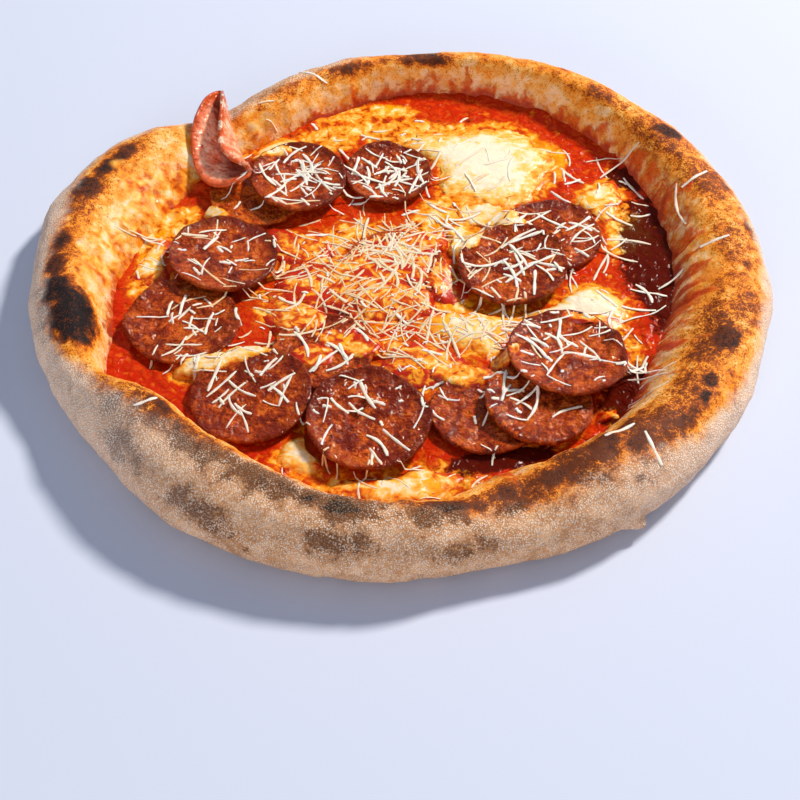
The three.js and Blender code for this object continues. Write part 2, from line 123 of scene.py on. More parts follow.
class Value:
    """One output of a node. Sums, products and powers of it make the nodes that work them out."""

    def __init__(self, tree, socket):
        self.tree = tree
        self.socket = socket

    def node(self, kind, inputs=None, output=0, **settings):
        """A new node of any kind, with its settings and its inputs by name or number."""
        node = self.tree.nodes.new(kind)
        for name, value in settings.items():
            setattr(node, name, value)
        for name, value in (inputs or {}).items():
            plug(self.tree, node.inputs[name], value)
        return Value(self.tree, node.outputs[output])

    def maths(self, operation, *values):
        """A node of maths with these values as its inputs."""
        return self.node("ShaderNodeMath", dict(enumerate(values)), operation=operation)

    def __add__(self, other):
        return self.maths("ADD", self, other)

    def __radd__(self, other):
        return self.maths("ADD", other, self)

    def __sub__(self, other):
        return self.maths("SUBTRACT", self, other)

    def __rsub__(self, other):
        return self.maths("SUBTRACT", other, self)

    def __mul__(self, other):
        return self.maths("MULTIPLY", self, other)

    def __rmul__(self, other):
        return self.maths("MULTIPLY", other, self)

    def __pow__(self, other):
        return self.maths("POWER", self, other)

    def step(self, low, high):
        """0 below low, 1 above high and a soft rise between them."""
        inputs = {"Value": self, "From Min": low, "From Max": high}
        return self.node("ShaderNodeMapRange", inputs, interpolation_type="SMOOTHSTEP")

    def shade(self, first, second):
        """The first colour where this is 0, the second where it is 1."""
        inputs = {0: self, 6: first, 7: second}
        return self.node("ShaderNodeMix", inputs, output=2, data_type="RGBA")

    def shades(self, colour, *stages):
        """The colour, then that of each stage, which comes up between two levels of this."""
        for low, high, following in stages:
            colour = self.step(low, high).shade(colour, following)
        return colour


def plug(tree, socket, value):
    """Puts a value, a colour or a number into a socket."""
    if isinstance(value, Value):
        tree.links.new(value.socket, socket)
    elif socket.type == "RGBA":
        socket.default_value = (*value, 1)
    else:
        socket.default_value = value


class Paint:
    """A material of one shader, with its place on the object in millimetres."""

    def __init__(self, name, **constants):
        self.material = bpy.data.materials.new(name)
        self.material.use_nodes = True
        self.tree = self.material.node_tree
        self.shader = self.tree.nodes["Principled BSDF"]
        self.fill(**constants)
        self.start = Value(self.tree, None)
        local = self.start.node("ShaderNodeTexCoord", output="Object")
        self.place = local.node("ShaderNodeVectorMath", {0: local, "Scale": 1 / MM}, operation="SCALE")

    def noise(self, size, detail=2, roughness=0.5, distortion=0, stretch=None):
        """Soft noise between 0 and 1 with lumps of that size in millimetres."""
        place = self.place
        if stretch:
            place = place.node("ShaderNodeVectorMath", {0: place, 1: stretch}, operation="MULTIPLY")
        inputs = {"Vector": place, "Scale": 1 / size, "Detail": detail, "Roughness": roughness}
        inputs["Distortion"] = distortion
        return place.node("ShaderNodeTexNoise", inputs)

    def cells(self, size):
        """Distance from the middle of the nearest of many cells, as a share of their size."""
        return self.place.node("ShaderNodeTexVoronoi", {"Vector": self.place, "Scale": 1 / size})

    def marks(self, *names):
        """Numbers that each corner of the mesh carries."""
        kind = "ShaderNodeAttribute"
        return [self.start.node(kind, output="Fac", attribute_name=name) for name in names]

    def bump(self, *layers):
        """Layers of relief, each a value with its height in millimetres."""
        normal = None
        for value, height in layers:
            inputs = {"Height": value, "Distance": height * MM, "Strength": 1.0}
            if normal:
                inputs["Normal"] = normal
            normal = value.node("ShaderNodeBump", inputs)
        return normal

    def fill(self, **inputs):
        """Numbers, colours and values for the shader's sockets. Gives back the material."""
        for socket, value in inputs.items():
            plug(self.tree, self.shader.inputs[socket.replace("_", " ")], value)
        return self.material


def smooth(values, low, high):
    """0 below low, 1 above high and a soft rise between them."""
    share = np.clip((values - low) / (high - low), 0, 1)
    return share * share * (3 - 2 * share)


def lumps(points, size, seed=0.0, octaves=2):
    """Soft noise between -1 and 1 at places given in millimetres."""
    total = np.zeros(len(points))
    weight = 1.0
    whole = 0.0
    scaled = np.asarray(points, float) / size + seed * 17.3
    spread = np.array([127.1, 311.7, 74.7])
    for _ in range(octaves):
        cell = np.floor(scaled)
        share = scaled - cell
        share = share * share * (3 - 2 * share)
        value = np.zeros(len(points))
        for corner in range(8):
            offset = np.array([corner & 1, corner >> 1 & 1, corner >> 2 & 1])
            chance = np.sin((cell + offset) @ spread) * 43758.5453
            chance = (chance - np.floor(chance)) * 2 - 1
            value += chance * np.prod(np.where(offset, share, 1 - share), axis=1)
        total += value * weight
        whole += weight
        weight *= 0.5
        scaled = scaled * 2.03 + 5.7
    return total / whole


def add_marks(mesh, marks):
    """Numbers that a mesh carries at its corners, by their names."""
    for label, values in marks.items():
        layer = mesh.attributes.new(label, "FLOAT", "POINT")
        layer.data.foreach_set("value", np.asarray(values, np.float32))


def lay_mesh(name, points, faces, material, marks):
    """A smooth-shaded piece from points in millimetres, with numbers for its corners."""
    mesh = bpy.data.meshes.new(name)
    mesh.from_pydata((np.asarray(points) * MM).tolist(), [], faces)
    mesh.polygons.foreach_set("use_smooth", [True] * len(mesh.polygons))
    add_marks(mesh, marks)
    mesh.materials.append(material)
    mesh.update()
    return add_object(name, mesh)


def on_table(x, y):
    """Places on the table, one row each."""
    return np.stack([x, y, x * 0], axis=-1)


def degrees_from(angle, angles):
    """How far round the pizza angles lie from one of them, between -180 and 180."""
    return np.mod(angles - angle + 180, 360) - 180


def between(first, middle, last):
    """Rows with one more row before them and one after them."""
    return np.concatenate([[first], middle, [last]])


def ring_faces(rings, count):
    """Faces of a closed skin: a middle point, rings of points from above to below, a middle point."""
    faces = [(0, 1 + i, 1 + (i + 1) % count) for i in range(count)]
    for k in range(rings - 1):
        a = 1 + k * count
        b = a + count
        faces += [(a + i, b + i, b + (i + 1) % count, a + (i + 1) % count) for i in range(count)]
    a = 1 + (rings - 1) * count
    last = a + count
    faces += [(a + (i + 1) % count, a + i, last) for i in range(count)]
    return faces


# The rim, cut across at places round the pizza, counted anticlockwise from the right:
# angle, radius of the outer edge, of the crest and of the inner foot, height of the crest
RIM = np.array([
    [0, 164, 147, 120, 27], [20, 169, 151, 130, 26], [40, 172, 155, 140, 25],
    [60, 174, 160, 147, 25], [75, 169, 157, 149, 25], [90, 163, 151, 143, 25],
    [104, 158, 145, 133, 26], [118, 151, 137, 125, 25], [128, 152, 138, 123, 18],
    [140, 162, 147, 121, 25], [158, 169, 151, 120, 27], [174, 164, 146, 125, 28],
    [188, 160, 141, 125, 32], [202, 154, 139, 130, 26], [214, 151, 128, 113, 33],
    [235, 151, 126, 110, 35], [255, 150, 129, 113, 33], [275, 148, 131, 115, 32],
    [291, 148, 129, 104, 27], [306, 153, 130, 110, 34], [325, 156, 138, 113, 31],
    [342, 159, 145, 112, 28],
], float)
# The thickness of the base, how high the rim is widest as a share of its height, how far it is
# tucked under, how much its outline wavers and how round its inner wall is
BASE = 5.0
WIDEST_AT = 0.4
TUCK = 11.0
WOBBLE = 0.7
INNER_ROUND = 0.55


def rim_at(angles):
    """Outer, crest and foot radius and crest height at any angles, one row each."""
    place = np.mod(np.atleast_1d(angles), 360)
    count = len(RIM)
    here = np.searchsorted(RIM[:, 0], place, side="right") - 1
    before, start, end, after = (RIM[(here + step) % count] for step in (-1, 0, 1, 2))
    span = np.mod(end[:, 0] - start[:, 0], 360)[:, None]
    span_before = np.mod(start[:, 0] - before[:, 0], 360)[:, None]
    span_after = np.mod(after[:, 0] - end[:, 0], 360)[:, None]
    u = (np.mod(place - start[:, 0], 360))[:, None] / span
    slope_in = (end - before) / (span + span_before) * span
    slope_out = (after - start) / (span + span_after) * span
    curve = (2 * u**3 - 3 * u**2 + 1) * start + (u**3 - 2 * u**2 + u) * slope_in
    curve += (3 * u**2 - 2 * u**3) * end + (u**3 - u**2) * slope_out
    turn = np.radians(place)
    wave = np.sin(turn * 11 + 1) + np.sin(turn * 17 + 2.4) * 0.6
    outer = curve[:, 1] + WOBBLE * wave * 0.6
    return outer, curve[:, 2], curve[:, 3], curve[:, 4]


def inner_wall(down):
    """How far in from the crest and how high over the foot the inner wall is, as shares. down is
    0 on the crest and 1 at the foot."""
    across = INNER_ROUND * np.sin(down * np.pi / 2) + (1 - INNER_ROUND) * down
    level = INNER_ROUND * np.cos(down * np.pi / 2)
    level = level + (1 - INNER_ROUND) * (0.5 + 0.5 * np.cos(down * np.pi))
    return across, level


def rim_section(angles, around):
    """Radius and height on the rim's skin. around is 0 at the inner foot, 1 on the crest, 2 at
    the widest point and 3 on the table."""
    outer, crest, foot, height = rim_at(angles)
    middle = WIDEST_AT * height
    across, level = inner_wall(1 - np.clip(around, 0, 1))
    radius = crest - (crest - foot) * across
    z = BASE + (height - BASE) * level
    over = np.clip(around - 1, 0, 1) * np.pi / 2
    radius = np.where(around > 1, crest + (outer - crest) * np.sin(over), radius)
    z = np.where(around > 1, middle + (height - middle) * np.cos(over), z)
    under = np.clip(around - 2, 0, 1) * np.pi / 2
    radius = np.where(around > 2, outer - TUCK + TUCK * np.cos(under), radius)
    z = np.where(around > 2, middle - middle * np.sin(under), z)
    return radius, z


ROUND_STEPS = 720
INNER_STEPS = 40
UPPER_STEPS = 26
LOWER_STEPS = 14

# Where the floury outer wall begins, round the pizza: angle and place on the section
FLOUR_FROM = np.array([
    [0, 1.55], [40, 1.5], [70, 1.35], [100, 1.1], [118, 0.95], [132, 1.2], [150, 1.35], [165, 1.2],
    [180, 1.4], [195, 1.4], [205, 1.1], [220, 1.15], [235, 0.95], [255, 0.72], [270, 0.95],
    [285, 1.15], [300, 1.25], [312, 1.3], [325, 1.5], [345, 1.6], [360, 1.55],
])
# How far up the inner wall the sauce has run, round the pizza: angle and place on the section
SAUCE_UP_TO = np.array([
    [0, 0.74], [20, 0.72], [35, 0.62], [52, 0.44], [66, 0.48], [80, 0.48], [100, 0.42], [112, 0.3],
    [125, 0.25], [140, 0.35], [150, 0.42], [165, 0.32], [180, 0.2], [205, 0.25], [230, 0.3], [262, 0.2],
    [280, 0.35], [290, 0.75], [300, 0.5], [315, 0.25], [330, 0.45], [345, 0.6], [360, 0.72],
])
# Places baked a deeper brown: angle, place on the section, half length along the rim and half
# width across it in millimetres, and how brown
TOASTED = [
    (346, 0.75, 24, 14, 1.3), (331, 0.85, 16, 12, 1.0), (318, 0.95, 19, 15, 1.5), (304, 0.9, 21, 14, 1.6),
    (290, 1.0, 17, 9, 1.4), (276, 1.06, 18, 8, 1.3), (261, 1.06, 20, 8, 1.15), (246, 1.06, 20, 8, 1.0),
    (232, 1.06, 20, 9, 1.1), (219, 1.05, 18, 9, 1.15), (212, 1.3, 16, 7, 0.8), (262, 1.6, 20, 7, 0.6),
    (240, 1.7, 18, 7, 0.7), (222, 1.65, 18, 8, 0.7), (280, 1.7, 18, 6, 0.5), (36, 0.95, 26, 14, 0.75),
    (24, 1.1, 20, 12, 0.75), (8, 1.05, 20, 11, 0.7), (50, 1.0, 20, 6, 0.6), (85, 0.95, 22, 6, 0.7),
    (103, 0.8, 14, 6, 0.5), (114, 0.85, 12, 7, 0.5), (160, 1.0, 18, 8, 1.0), (146, 1.05, 14, 6, 0.7),
    (178, 1.15, 14, 7, 0.9), (352, 1.15, 16, 9, 0.7), (118, 0.55, 10, 8, 0.3),
]
# Charred places: angle, place on the section, half length along the rim, half width across it
# in millimetres, and how black they are
CHARS = [
    (191, 0.97, 17, 15, 1.15), (186, 1.22, 13, 8, 1.1), (195, 0.66, 9, 7, 0.8),
    (179, 1.18, 9, 5, 0.85), (173, 1.12, 8, 4, 0.6), (159, 1.07, 7, 5.5, 1.15),
    (153, 1.02, 9, 5, 0.75), (148, 1.0, 8, 3.5, 0.5), (37, 1.2, 6.5, 5.5, 1.1),
    (344, 0.98, 6.5, 6, 1.1), (333.5, 1.05, 4.5, 3, 0.95), (329.5, 1.17, 4.5, 2.6, 0.95),
    (325, 1.25, 7, 3.5, 0.5), (12, 1.45, 9, 3.5, 0.5), (84, 0.95, 14, 5, 0.45),
    (87, 1.15, 5, 2.5, 0.6), (99, 0.85, 13, 4, 0.42), (289, 0.95, 4, 3, 0.85),
    (279, 1.0, 9, 3, 0.5), (284, 1.08, 6, 2.5, 0.5), (299, 1.0, 12, 4, 0.4),
    (309, 0.95, 11, 6, 0.45), (313, 1.15, 8, 4, 0.4), (316, 0.75, 6, 4, 0.4),
    (222, 0.9, 9, 4, 0.4), (214, 1.35, 5, 3, 0.4), (236, 1.5, 4, 2.5, 0.4),
    (254, 1.05, 8, 3, 0.45), (310, 1.5, 3, 2.2, 0.45), (2, 1.2, 4, 3, 0.5),
]
# A torn shred of dough low on the outer wall: its angle, its level, half its height, how far it
# sticks out, and where it begins, stands out and ends along the rim, measured from its angle
SHRED_AT = 308
SHRED_LEVEL = 6
SHRED_HALF = 2.4
SHRED_OUT = 4.5
SHRED_ALONG = (-7, 3, 6)
# How far round the pizza from its middle a baked place is looked for, in degrees
BAKED_REACH = 25
# The middle radius of the rim and the length of its section's quarter, which unroll the rim into
# a strip for patterns that run along it
UNROLLED_RADIUS = 140
UNROLLED_QUARTER = 12


def burnt_places(points, angles, places):
    """How deep in the listed places each point lies: their depth in the middle, 0 outside."""
    found = np.zeros(len(points))
    for angle, section, along, across, depth in places:
        r, z = rim_section(np.array([angle]), np.array([section]))
        turn = math.radians(angle)
        centre = np.array([r[0] * math.cos(turn), r[0] * math.sin(turn), z[0]])
        near = np.abs(degrees_from(angle, angles)) < BAKED_REACH
        beside = np.radians(degrees_from(angle, angles[near])) * r[0]
        gap = ((points[near] - centre) ** 2).sum(axis=1)
        over = np.sqrt(np.maximum(gap - beside**2, 0))
        ragged = 1 + 0.45 * lumps(points[near], 6, angle) + 0.25 * lumps(points[near], 2, angle + 1)
        far = np.hypot(beside / along, over / across) / ragged
        found[near] = np.maximum(found[near], depth * (1 - smooth(far, 0.3, 1.35)))
    return found


def smooth_dough():
    """Angle, place on the section, radius and level for rings of places on dough without relief."""
    turn = np.arange(ROUND_STEPS) * 360 / ROUND_STEPS
    arounds = np.concatenate([
        np.linspace(0, 1, INNER_STEPS, endpoint=False),
        np.linspace(1, 2, UPPER_STEPS, endpoint=False),
        np.linspace(2, 3, LOWER_STEPS),
    ])
    radius = np.empty((len(arounds), ROUND_STEPS))
    level = np.empty_like(radius)
    for k, around in enumerate(arounds):
        radius[k], level[k] = rim_section(turn, np.full(ROUND_STEPS, around))
    inner = [radius[0] * share for share in (0.25, 0.6, 0.9)]
    outer = [radius[-1] * share for share in (0.96, 0.6, 0.2)]
    radius = np.vstack([*inner, radius, *outer])
    level = np.vstack([*[level[0]] * 3, level, *[level[-1] * 0] * 3])
    around = np.concatenate([[0, 0, 0], arounds, [3, 3, 3]])[:, None] + np.zeros_like(radius)
    angle = turn[None, :] + np.zeros_like(radius)
    return angle, around, radius, level


def dough_relief(flat, unrolled, around):
    """How far the skin stands out: lumps on the whole rim, folds and wrinkles on its inner wall."""
    on_wall = smooth(around, 0.02, 0.3) * (1 - smooth(around, 0.75, 1.05))
    on_rim = smooth(around, 0.1, 0.5) * (1 - smooth(around, 2.3, 2.9))
    relief = 0.9 * lumps(flat, 19, 1) + 0.6 * lumps(flat, 7, 2) + 0.24 * lumps(flat, 2.6, 3)
    folds = lumps(unrolled * np.array([1, 0.35, 1]), 7, 4)
    wrinkles = lumps(unrolled * np.array([0.45, 1, 1]), 3.2, 5)
    return relief * on_rim + on_wall * (1.1 * folds + 0.45 * wrinkles)


def what_befell(flat, unrolled, around, angle, points):
    """What lies on the skin or has happened to it in the oven, with the two middle points added."""
    edge = np.interp(angle, FLOUR_FROM[:, 0], FLOUR_FROM[:, 1])
    ragged = 0.16 * lumps(flat, 9, 6) + 0.08 * lumps(flat, 3, 7)
    flour = smooth(around - edge + ragged, -0.14, 0.16)
    reach = np.interp(angle, SAUCE_UP_TO[:, 0], SAUCE_UP_TO[:, 1])
    ragged = 0.32 * lumps(unrolled * np.array([1, 0.25, 1]), 5, 8) + 0.12 * lumps(flat, 2.2, 9)
    stain = smooth(reach + ragged - around, -0.12, 0.26) * (1 - smooth(around, 0.85, 1.1))
    wander = on_table(6 * lumps(flat, 11, 32), 5 * lumps(flat, 9, 33))
    streak = 0.5 + 0.5 * lumps(unrolled * np.array([1, 0.3, 1]) + wander, 3.4, 31, 3)
    beside_fold = smooth(angle, 112, 124) * (1 - smooth(angle, 172, 186))
    reach = 0.78 + 0.5 * lumps(flat, 12, 10) + 0.2 * lumps(flat, 3.5, 11)
    cheesy = beside_fold * smooth(reach - around, -0.1, 0.16)
    found = {
        "around": (0, around, 3),
        "flour": (0, flour, 1),
        "stain": (1, stain, 0),
        "cheesy": (0, cheesy, 0),
        "char": (0, burnt_places(points, angle, CHARS), 0),
        "toast": (0, burnt_places(points, angle, TOASTED), 0),
        "streak": (0, streak, 0),
    }
    return {name: between(*values) for name, values in found.items()}


def round_middle(turn, radius, level):
    """Places given by turn, radius and level, one row each."""
    return np.stack([radius * np.cos(turn), radius * np.sin(turn), level], axis=-1).reshape(-1, 3)


def build_dough():
    """The dough's skin, its rings pushed out by the relief, and what it carries."""
    angle, around, radius, level = smooth_dough()
    turn = np.radians(angle)
    flat = round_middle(turn, radius, level)
    unrolled = on_table((turn * UNROLLED_RADIUS).ravel(), (around * UNROLLED_QUARTER).ravel())
    # The skin is pushed out along its section's outward direction, found from its neighbours
    dr = np.gradient(radius, axis=0)
    dz = np.gradient(level, axis=0)
    size = np.hypot(dr, dz) + 1e-9
    push = dough_relief(flat, unrolled, around.ravel()).reshape(radius.shape)
    radius = radius - dz / size * push
    level = np.maximum(level + dr / size * push, 0)
    beside = np.radians(degrees_from(SHRED_AT, angle)) * radius
    begins, stands_out, ends = SHRED_ALONG
    torn = smooth(beside, begins, stands_out) * (1 - smooth(beside, stands_out, ends))
    torn = torn * np.exp(-(((level - SHRED_LEVEL) / SHRED_HALF) ** 2)) * (around > 1.8)
    radius = radius + SHRED_OUT * torn
    level[-3:] = 0
    points = round_middle(turn, radius, level)
    marks = what_befell(flat, unrolled, around.ravel(), angle.ravel(), points)
    points = between((0, 0, BASE), points, (0, 0, 0))
    return points, ring_faces(radius.shape[0], ROUND_STEPS), marks


# Melting cheese: from what heat to what heat each colour comes up over white
CREAM = (0.90, 0.79, 0.59)
BUTTER = (0.96, 0.58, 0.13)
AMBER = (0.93, 0.30, 0.012)
RUST = (0.62, 0.085, 0.005)
SAUCE_RED = (0.50, 0.018, 0.002)
MELTING = ((0.05, 0.34, BUTTER), (0.28, 0.55, AMBER), (0.52, 0.78, RUST), (0.76, 0.98, SAUCE_RED))
# The skin as it bakes: from what level of baking to what level each colour comes up
PALE_SKIN = (1.0, 0.66, 0.36)
GOLD = (0.98, 0.47, 0.09)
ORANGE = (0.90, 0.27, 0.014)
BROWN = (0.50, 0.10, 0.006)
DARK_BROWN = (0.15, 0.034, 0.006)
CHARCOAL = (0.012, 0.010, 0.011)
BAKING = (
    (0.04, 0.28, GOLD), (0.22, 0.44, ORANGE), (0.42, 0.60, BROWN),
    (0.56, 0.74, DARK_BROWN), (0.72, 0.94, CHARCOAL),
)
SPECKS = (0.17, 0.035, 0.006)
# Sauce and fat on the wall
SOAKED_ORANGE = (0.80, 0.25, 0.035)
THIN_SAUCE = (0.90, 0.16, 0.010)
THICK_SAUCE = (0.46, 0.020, 0.003)
# The outer wall as it is singed, what lies on it, and the painted light on its sides
TAN = (0.88, 0.50, 0.27)
SINGEING = (
    (0.05, 0.45, (0.56, 0.26, 0.11)), (0.42, 0.66, (0.20, 0.075, 0.026)),
    (0.80, 1.06, (0.020, 0.013, 0.010)),
)
SEMOLINA = (1.0, 0.80, 0.63)
FLOUR_AND_PAINTED_LIGHT = (1.0, 0.86, 0.74)
BRAN = (0.34, 0.15, 0.06)


def melt_colour(heat):
    """From white mozzarella (0) through butter yellow, amber and rust to red sauce (1)."""
    return heat.shades(CREAM, *MELTING)


def dough_paint():
    """Baked skin from pale to charred, stained inside, floury on the outer wall, with painted light on its
    left and right sides.
    """
    paint = Paint("baked_dough", Specular_IOR_Level=0.15)
    around, flour, stain, cheesy = paint.marks("around", "flour", "stain", "cheesy")
    char, toast, streak = paint.marks("char", "toast", "streak")
    broad = paint.noise(16, 3, 0.55)
    middle = paint.noise(5, 4, 0.62, 0.4)
    fine = paint.noise(1.1, 3, 0.6)
    blotch = paint.noise(2.6, 5, 0.72, 0.8)
    grit = paint.noise(0.7, 3, 0.7)
    # How strongly each spot is baked: least low on the inner wall, most on the crest
    crest = around.step(0.5, 0.95) * (1 - around.step(1.4, 1.9))
    low = 1 - around.step(0.1, 0.7)
    spotty = (blotch - 0.5) * 1.2 + (grit - 0.5) * 1.0
    bake = 0.23 + crest * 0.13 + toast * 0.30 + char * 0.72 - low * 0.12
    bake = bake + (broad - 0.5) * 0.7 + (middle - 0.5) * 0.9
    bake = bake + spotty * (0.45 + toast * 0.55 + char * 0.4)
    skin = bake.shades(PALE_SKIN, *BAKING)
    speck = grit + (blotch - 0.5) * 0.7 + crest * 0.07 + toast * 0.12
    skin = (speck.step(0.62, 0.70) * 0.75).shade(skin, SPECKS)
    # Fat has soaked into the wall round the sauce that ran up it
    soaked = stain.step(0.0, 0.6) * around.step(0.1, 0.3) * (0.30 + (broad - 0.5) * 0.8)
    skin = soaked.shade(skin, SOAKED_ORANGE)
    # The sauce went up in streaks: orange where thin, dark red at the foot
    thick = stain * 0.50 + (streak - 0.5) * 1.9 + (blotch - 0.5) * 1.0
    wet = 1 - around.step(0.04, 0.34)
    sauce_red = (thick + wet * 0.5).step(0.3, 1.0).shade(THIN_SAUCE, THICK_SAUCE)
    stained = (thick + wet * 0.3).step(0.20, 0.60) * stain.step(0.0, 0.3)
    drips = (streak + (blotch - 0.5)).step(0.25, 0.6)
    stained = stained + (1 - stained) * wet * drips * stain.step(0.0, 0.2)
    skin = (stained * 0.93).shade(skin, sauce_red)
    # Melted cheese and fat on the wall beside the folded slice
    heat = 0.40 + (1 - around.step(0.08, 0.55)) * 0.30 + (streak - 0.5) * 0.5 + (broad - 0.5) * 1.1
    heat = heat + (paint.noise(6, 2, 0.5, 0.4) - 0.5) * 1.6
    skin = (cheesy * (0.65 + (middle - 0.5) * 1.5).step(0.2, 0.8)).shade(skin, melt_colour(heat))
    # Outer wall: tan, thick with pale grains of semolina, and with darker baked clouds
    singed = 0.30 + toast * 0.50 + char * 0.55 + (broad - 0.5) * 0.8 + (middle - 0.5) * 0.8
    singed = singed + (fine - 0.5) * 0.6
    grains = 1 - paint.cells(0.78).step(0.25, 0.62)
    sown = (paint.noise(7, 3, 0.6) + (grit - 0.5) * 0.5 - (singed - 0.3) * 0.5).step(0.25, 0.50)
    dusted = grains * (0.2 + 0.8 * sown)
    wall = (dusted * 0.78).shade(singed.shades(TAN, *SINGEING), SEMOLINA)
    # The outer wall's left and right sides are lighter: painted light, most on the grains of flour
    across = paint.place.node("ShaderNodeSeparateXYZ", {0: paint.place})
    side = across.maths("ABSOLUTE", across).step(60, 150)
    wall = (side * (0.3 + 0.45 * grains)).shade(wall, FLOUR_AND_PAINTED_LIGHT)
    wall = (grit.step(0.54, 0.66) * 0.4).shade(wall, BRAN)
    colour = flour.shade(skin, wall)
    rough = 0.50 - stained * 0.30 - cheesy * 0.25 + flour * 0.35 + char * 0.2
    normal = paint.bump(
        (grains * flour, 0.28),
        (blotch * (1 - flour), 0.6),
        (streak * stained, 0.4),
        (fine * (1 - flour * 0.7), 0.25),
    )
    return paint.fill(Base_Color=colour, Roughness=rough, Normal=normal)


dough_points, dough_faces, dough_marks = build_dough()
dough = lay_mesh("dough", dough_points, dough_faces, dough_paint(), dough_marks)
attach(dough, "root")
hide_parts("crust")

# ------------------------------------------------------------------ the sauce
# Crushed tomato lies on the base in soft lumps and meets the foot of the rim. It is dark at the
# right along the foot of the rim, thicker there and with painted shade, red elsewhere, and orange
# to cream where melted cheese has run into it.

# How far toppings lie clear of what carries them, the thickness of a slice, the middle level of
# the sauce, how much it waves, and the level on which toppings lie
GAP = 0.35
SLICE = 2.2
SAUCE_TOP = 7.0
SAUCE_WAVE = 0.45
BED = SAUCE_TOP + SAUCE_WAVE + GAP
SAUCE_ROUND = 520
SAUCE_RINGS = 130

# Patches of mozzarella: middle, half length, half width, turn, thickness, and how orange they
# have become. They come before the sauce because it is stained round them.
CHEESES = {
    "back": (40, 92, 40, 29, -12, 3.0, 0.04),
    "centre": (-30, 8, 37, 25, 8, 2.2, 0.50),
    "front": (4, -103, 37, 10.5, 4, 2.6, 0.30),
    "right": (80, -4, 25, 13, 6, 3.0, 0.02),
    "middle": (33, -16, 21, 13, -10, 2.4, 0.22),
    "left": (-112, 27, 17, 13, 80, 2.2, 0.42),
    "left_low": (-78, -37, 17, 6.5, 12, 2.0, 0.28),
    "front_left": (-38, -85, 13, 10, 60, 2.4, 0.10),
    "far_right": (95, 66, 15, 11, 55, 2.2, 0.34),
    "back_left": (-62, 103, 15, 6.5, 22, 2.2, 0.22),
    "front_right": (91, -66, 10, 5.5, 20, 1.8, 0.60),
    "low_middle": (9, -34, 24, 11, -12, 2.0, 0.50),
}
# The thickness of a patch at its edge and how far it stops short of a slice. Its edge is felt for
# outwards from near its middle, in small steps and a little ahead.
CHEESE_EDGE = 0.7
CHEESE_CLEAR = 0.7
FELT_FROM = 2
FELT_STEP = 0.4
FELT_AHEAD = 1.2
# The slices of salami, the lowest first: middle, radius, rise of the curled edge, slope and the
# direction in which it climbs. Patches of cheese stop at them.
SLICES = np.array([
    [-1, 21, 23, 0.3, 0, 0], [-32, -30, 22, 0.3, 0, 0], [-66, 70, 22.5, 0.6, 2, 120],
    [70.5, 41, 23, 0.8, 1, 200], [-94, -13, 25, 0.6, 0, 0], [37, -63.5, 23.5, 0.4, 0, 0],
    [-61.5, -56.5, 25.5, 0.9, 4, 45], [-12, -71.7, 26, 1.6, 2.5, 116], [-4.5, 82, 20.5, 2.6, 1, 90],
    [-46.5, 75, 22.6, 2.2, 3, 170], [-78.5, 25.5, 24.3, 1.8, 5, 200], [51.7, 19, 24.3, 1.2, 4, 50],
    [59, -62, 22.5, 0.5, 4.5, 180], [72.5, -37.5, 25.5, 2.4, 6, 240],
], float)
# Where melted cheese and fat lie thin over the sauce: middle, half length, half width and turn
MELTED_PLACES = [
    (-14, 16, 62, 44, 10), (-108, 46, 24, 22, -30), (-112, 14, 12, 20, 0), (16, -46, 50, 14, -4),
    (-4, -98, 46, 14, 4), (50, -4, 48, 22, 14), (98, 50, 20, 30, 30), (-50, 104, 44, 13, 18),
    (30, 56, 36, 24, 10), (98, -30, 10, 20, 0), (-66, -38, 30, 10, 8), (12, 114, 54, 15, -8),
    (-12, 131, 26, 9, 0), (62, -78, 22, 8, 20),
]
# Where the sauce is dark: thick, and with painted shade along the foot of the rim
DARK_SHADED_PLACES = [
    (118, 22, 20, 60, 8), (104, -58, 24, 30, -30), (108, 82, 12, 9, -40),
    (42, -88, 30, 8, 10),
]

# The level of whatever lies uppermost, on a square grid over the whole pizza
GRID = 0.75
GRID_X = np.arange(-168, 170, GRID)
GRID_Y = np.arange(-152, 168, GRID)
levels = np.zeros((len(GRID_Y), len(GRID_X)))


def cover(points, faces):
    """Raises the levels to those of a piece that was laid on."""
    tree = BVHTree.FromPolygons(points.tolist(), faces)
    first = np.searchsorted(GRID_X, points[:, 0].min()), np.searchsorted(GRID_Y, points[:, 1].min())
    last = np.searchsorted(GRID_X, points[:, 0].max()), np.searchsorted(GRID_Y, points[:, 1].max())
    down = Vector((0, 0, -1))
    for j in range(first[1], last[1]):
        for i in range(first[0], last[0]):
            hit = tree.ray_cast(Vector((GRID_X[i], GRID_Y[j], 90)), down)[0]
            if hit is not None and hit.z > levels[j, i]:
                levels[j, i] = hit.z


def level_at(x, y, field):
    """A field's value at any places, between its grid points."""
    u = np.clip((x - GRID_X[0]) / GRID, 0, len(GRID_X) - 1.01)
    v = np.clip((y - GRID_Y[0]) / GRID, 0, len(GRID_Y) - 1.01)
    i = u.astype(int)
    j = v.astype(int)
    u = u - i
    v = v - j
    near = field[j, i] * (1 - u) + field[j, i + 1] * u
    far = field[j + 1, i] * (1 - u) + field[j + 1, i + 1] * u
    return near * (1 - v) + far * v


def softened(field, reach):
    """A field averaged over a square of that many grid steps each way."""
    total = field.copy()
    for axis in (0, 1):
        total = sum(np.roll(total, k, axis=axis) for k in range(-reach, reach + 1))
        total = total / (2 * reach + 1)
    return total


def in_places(x, y, places):
    """1 in the middle of the nearest of some ovals, 0 at its edge and below 0 outside."""
    best = np.full(np.shape(x), -9.0)
    for middle_x, middle_y, long, wide, turn in places:
        a = math.radians(turn)
        along = (x - middle_x) * math.cos(a) + (y - middle_y) * math.sin(a)
        across = (y - middle_y) * math.cos(a) - (x - middle_x) * math.sin(a)
        best = np.maximum(best, 1 - np.hypot(along / long, across / wide))
    return best


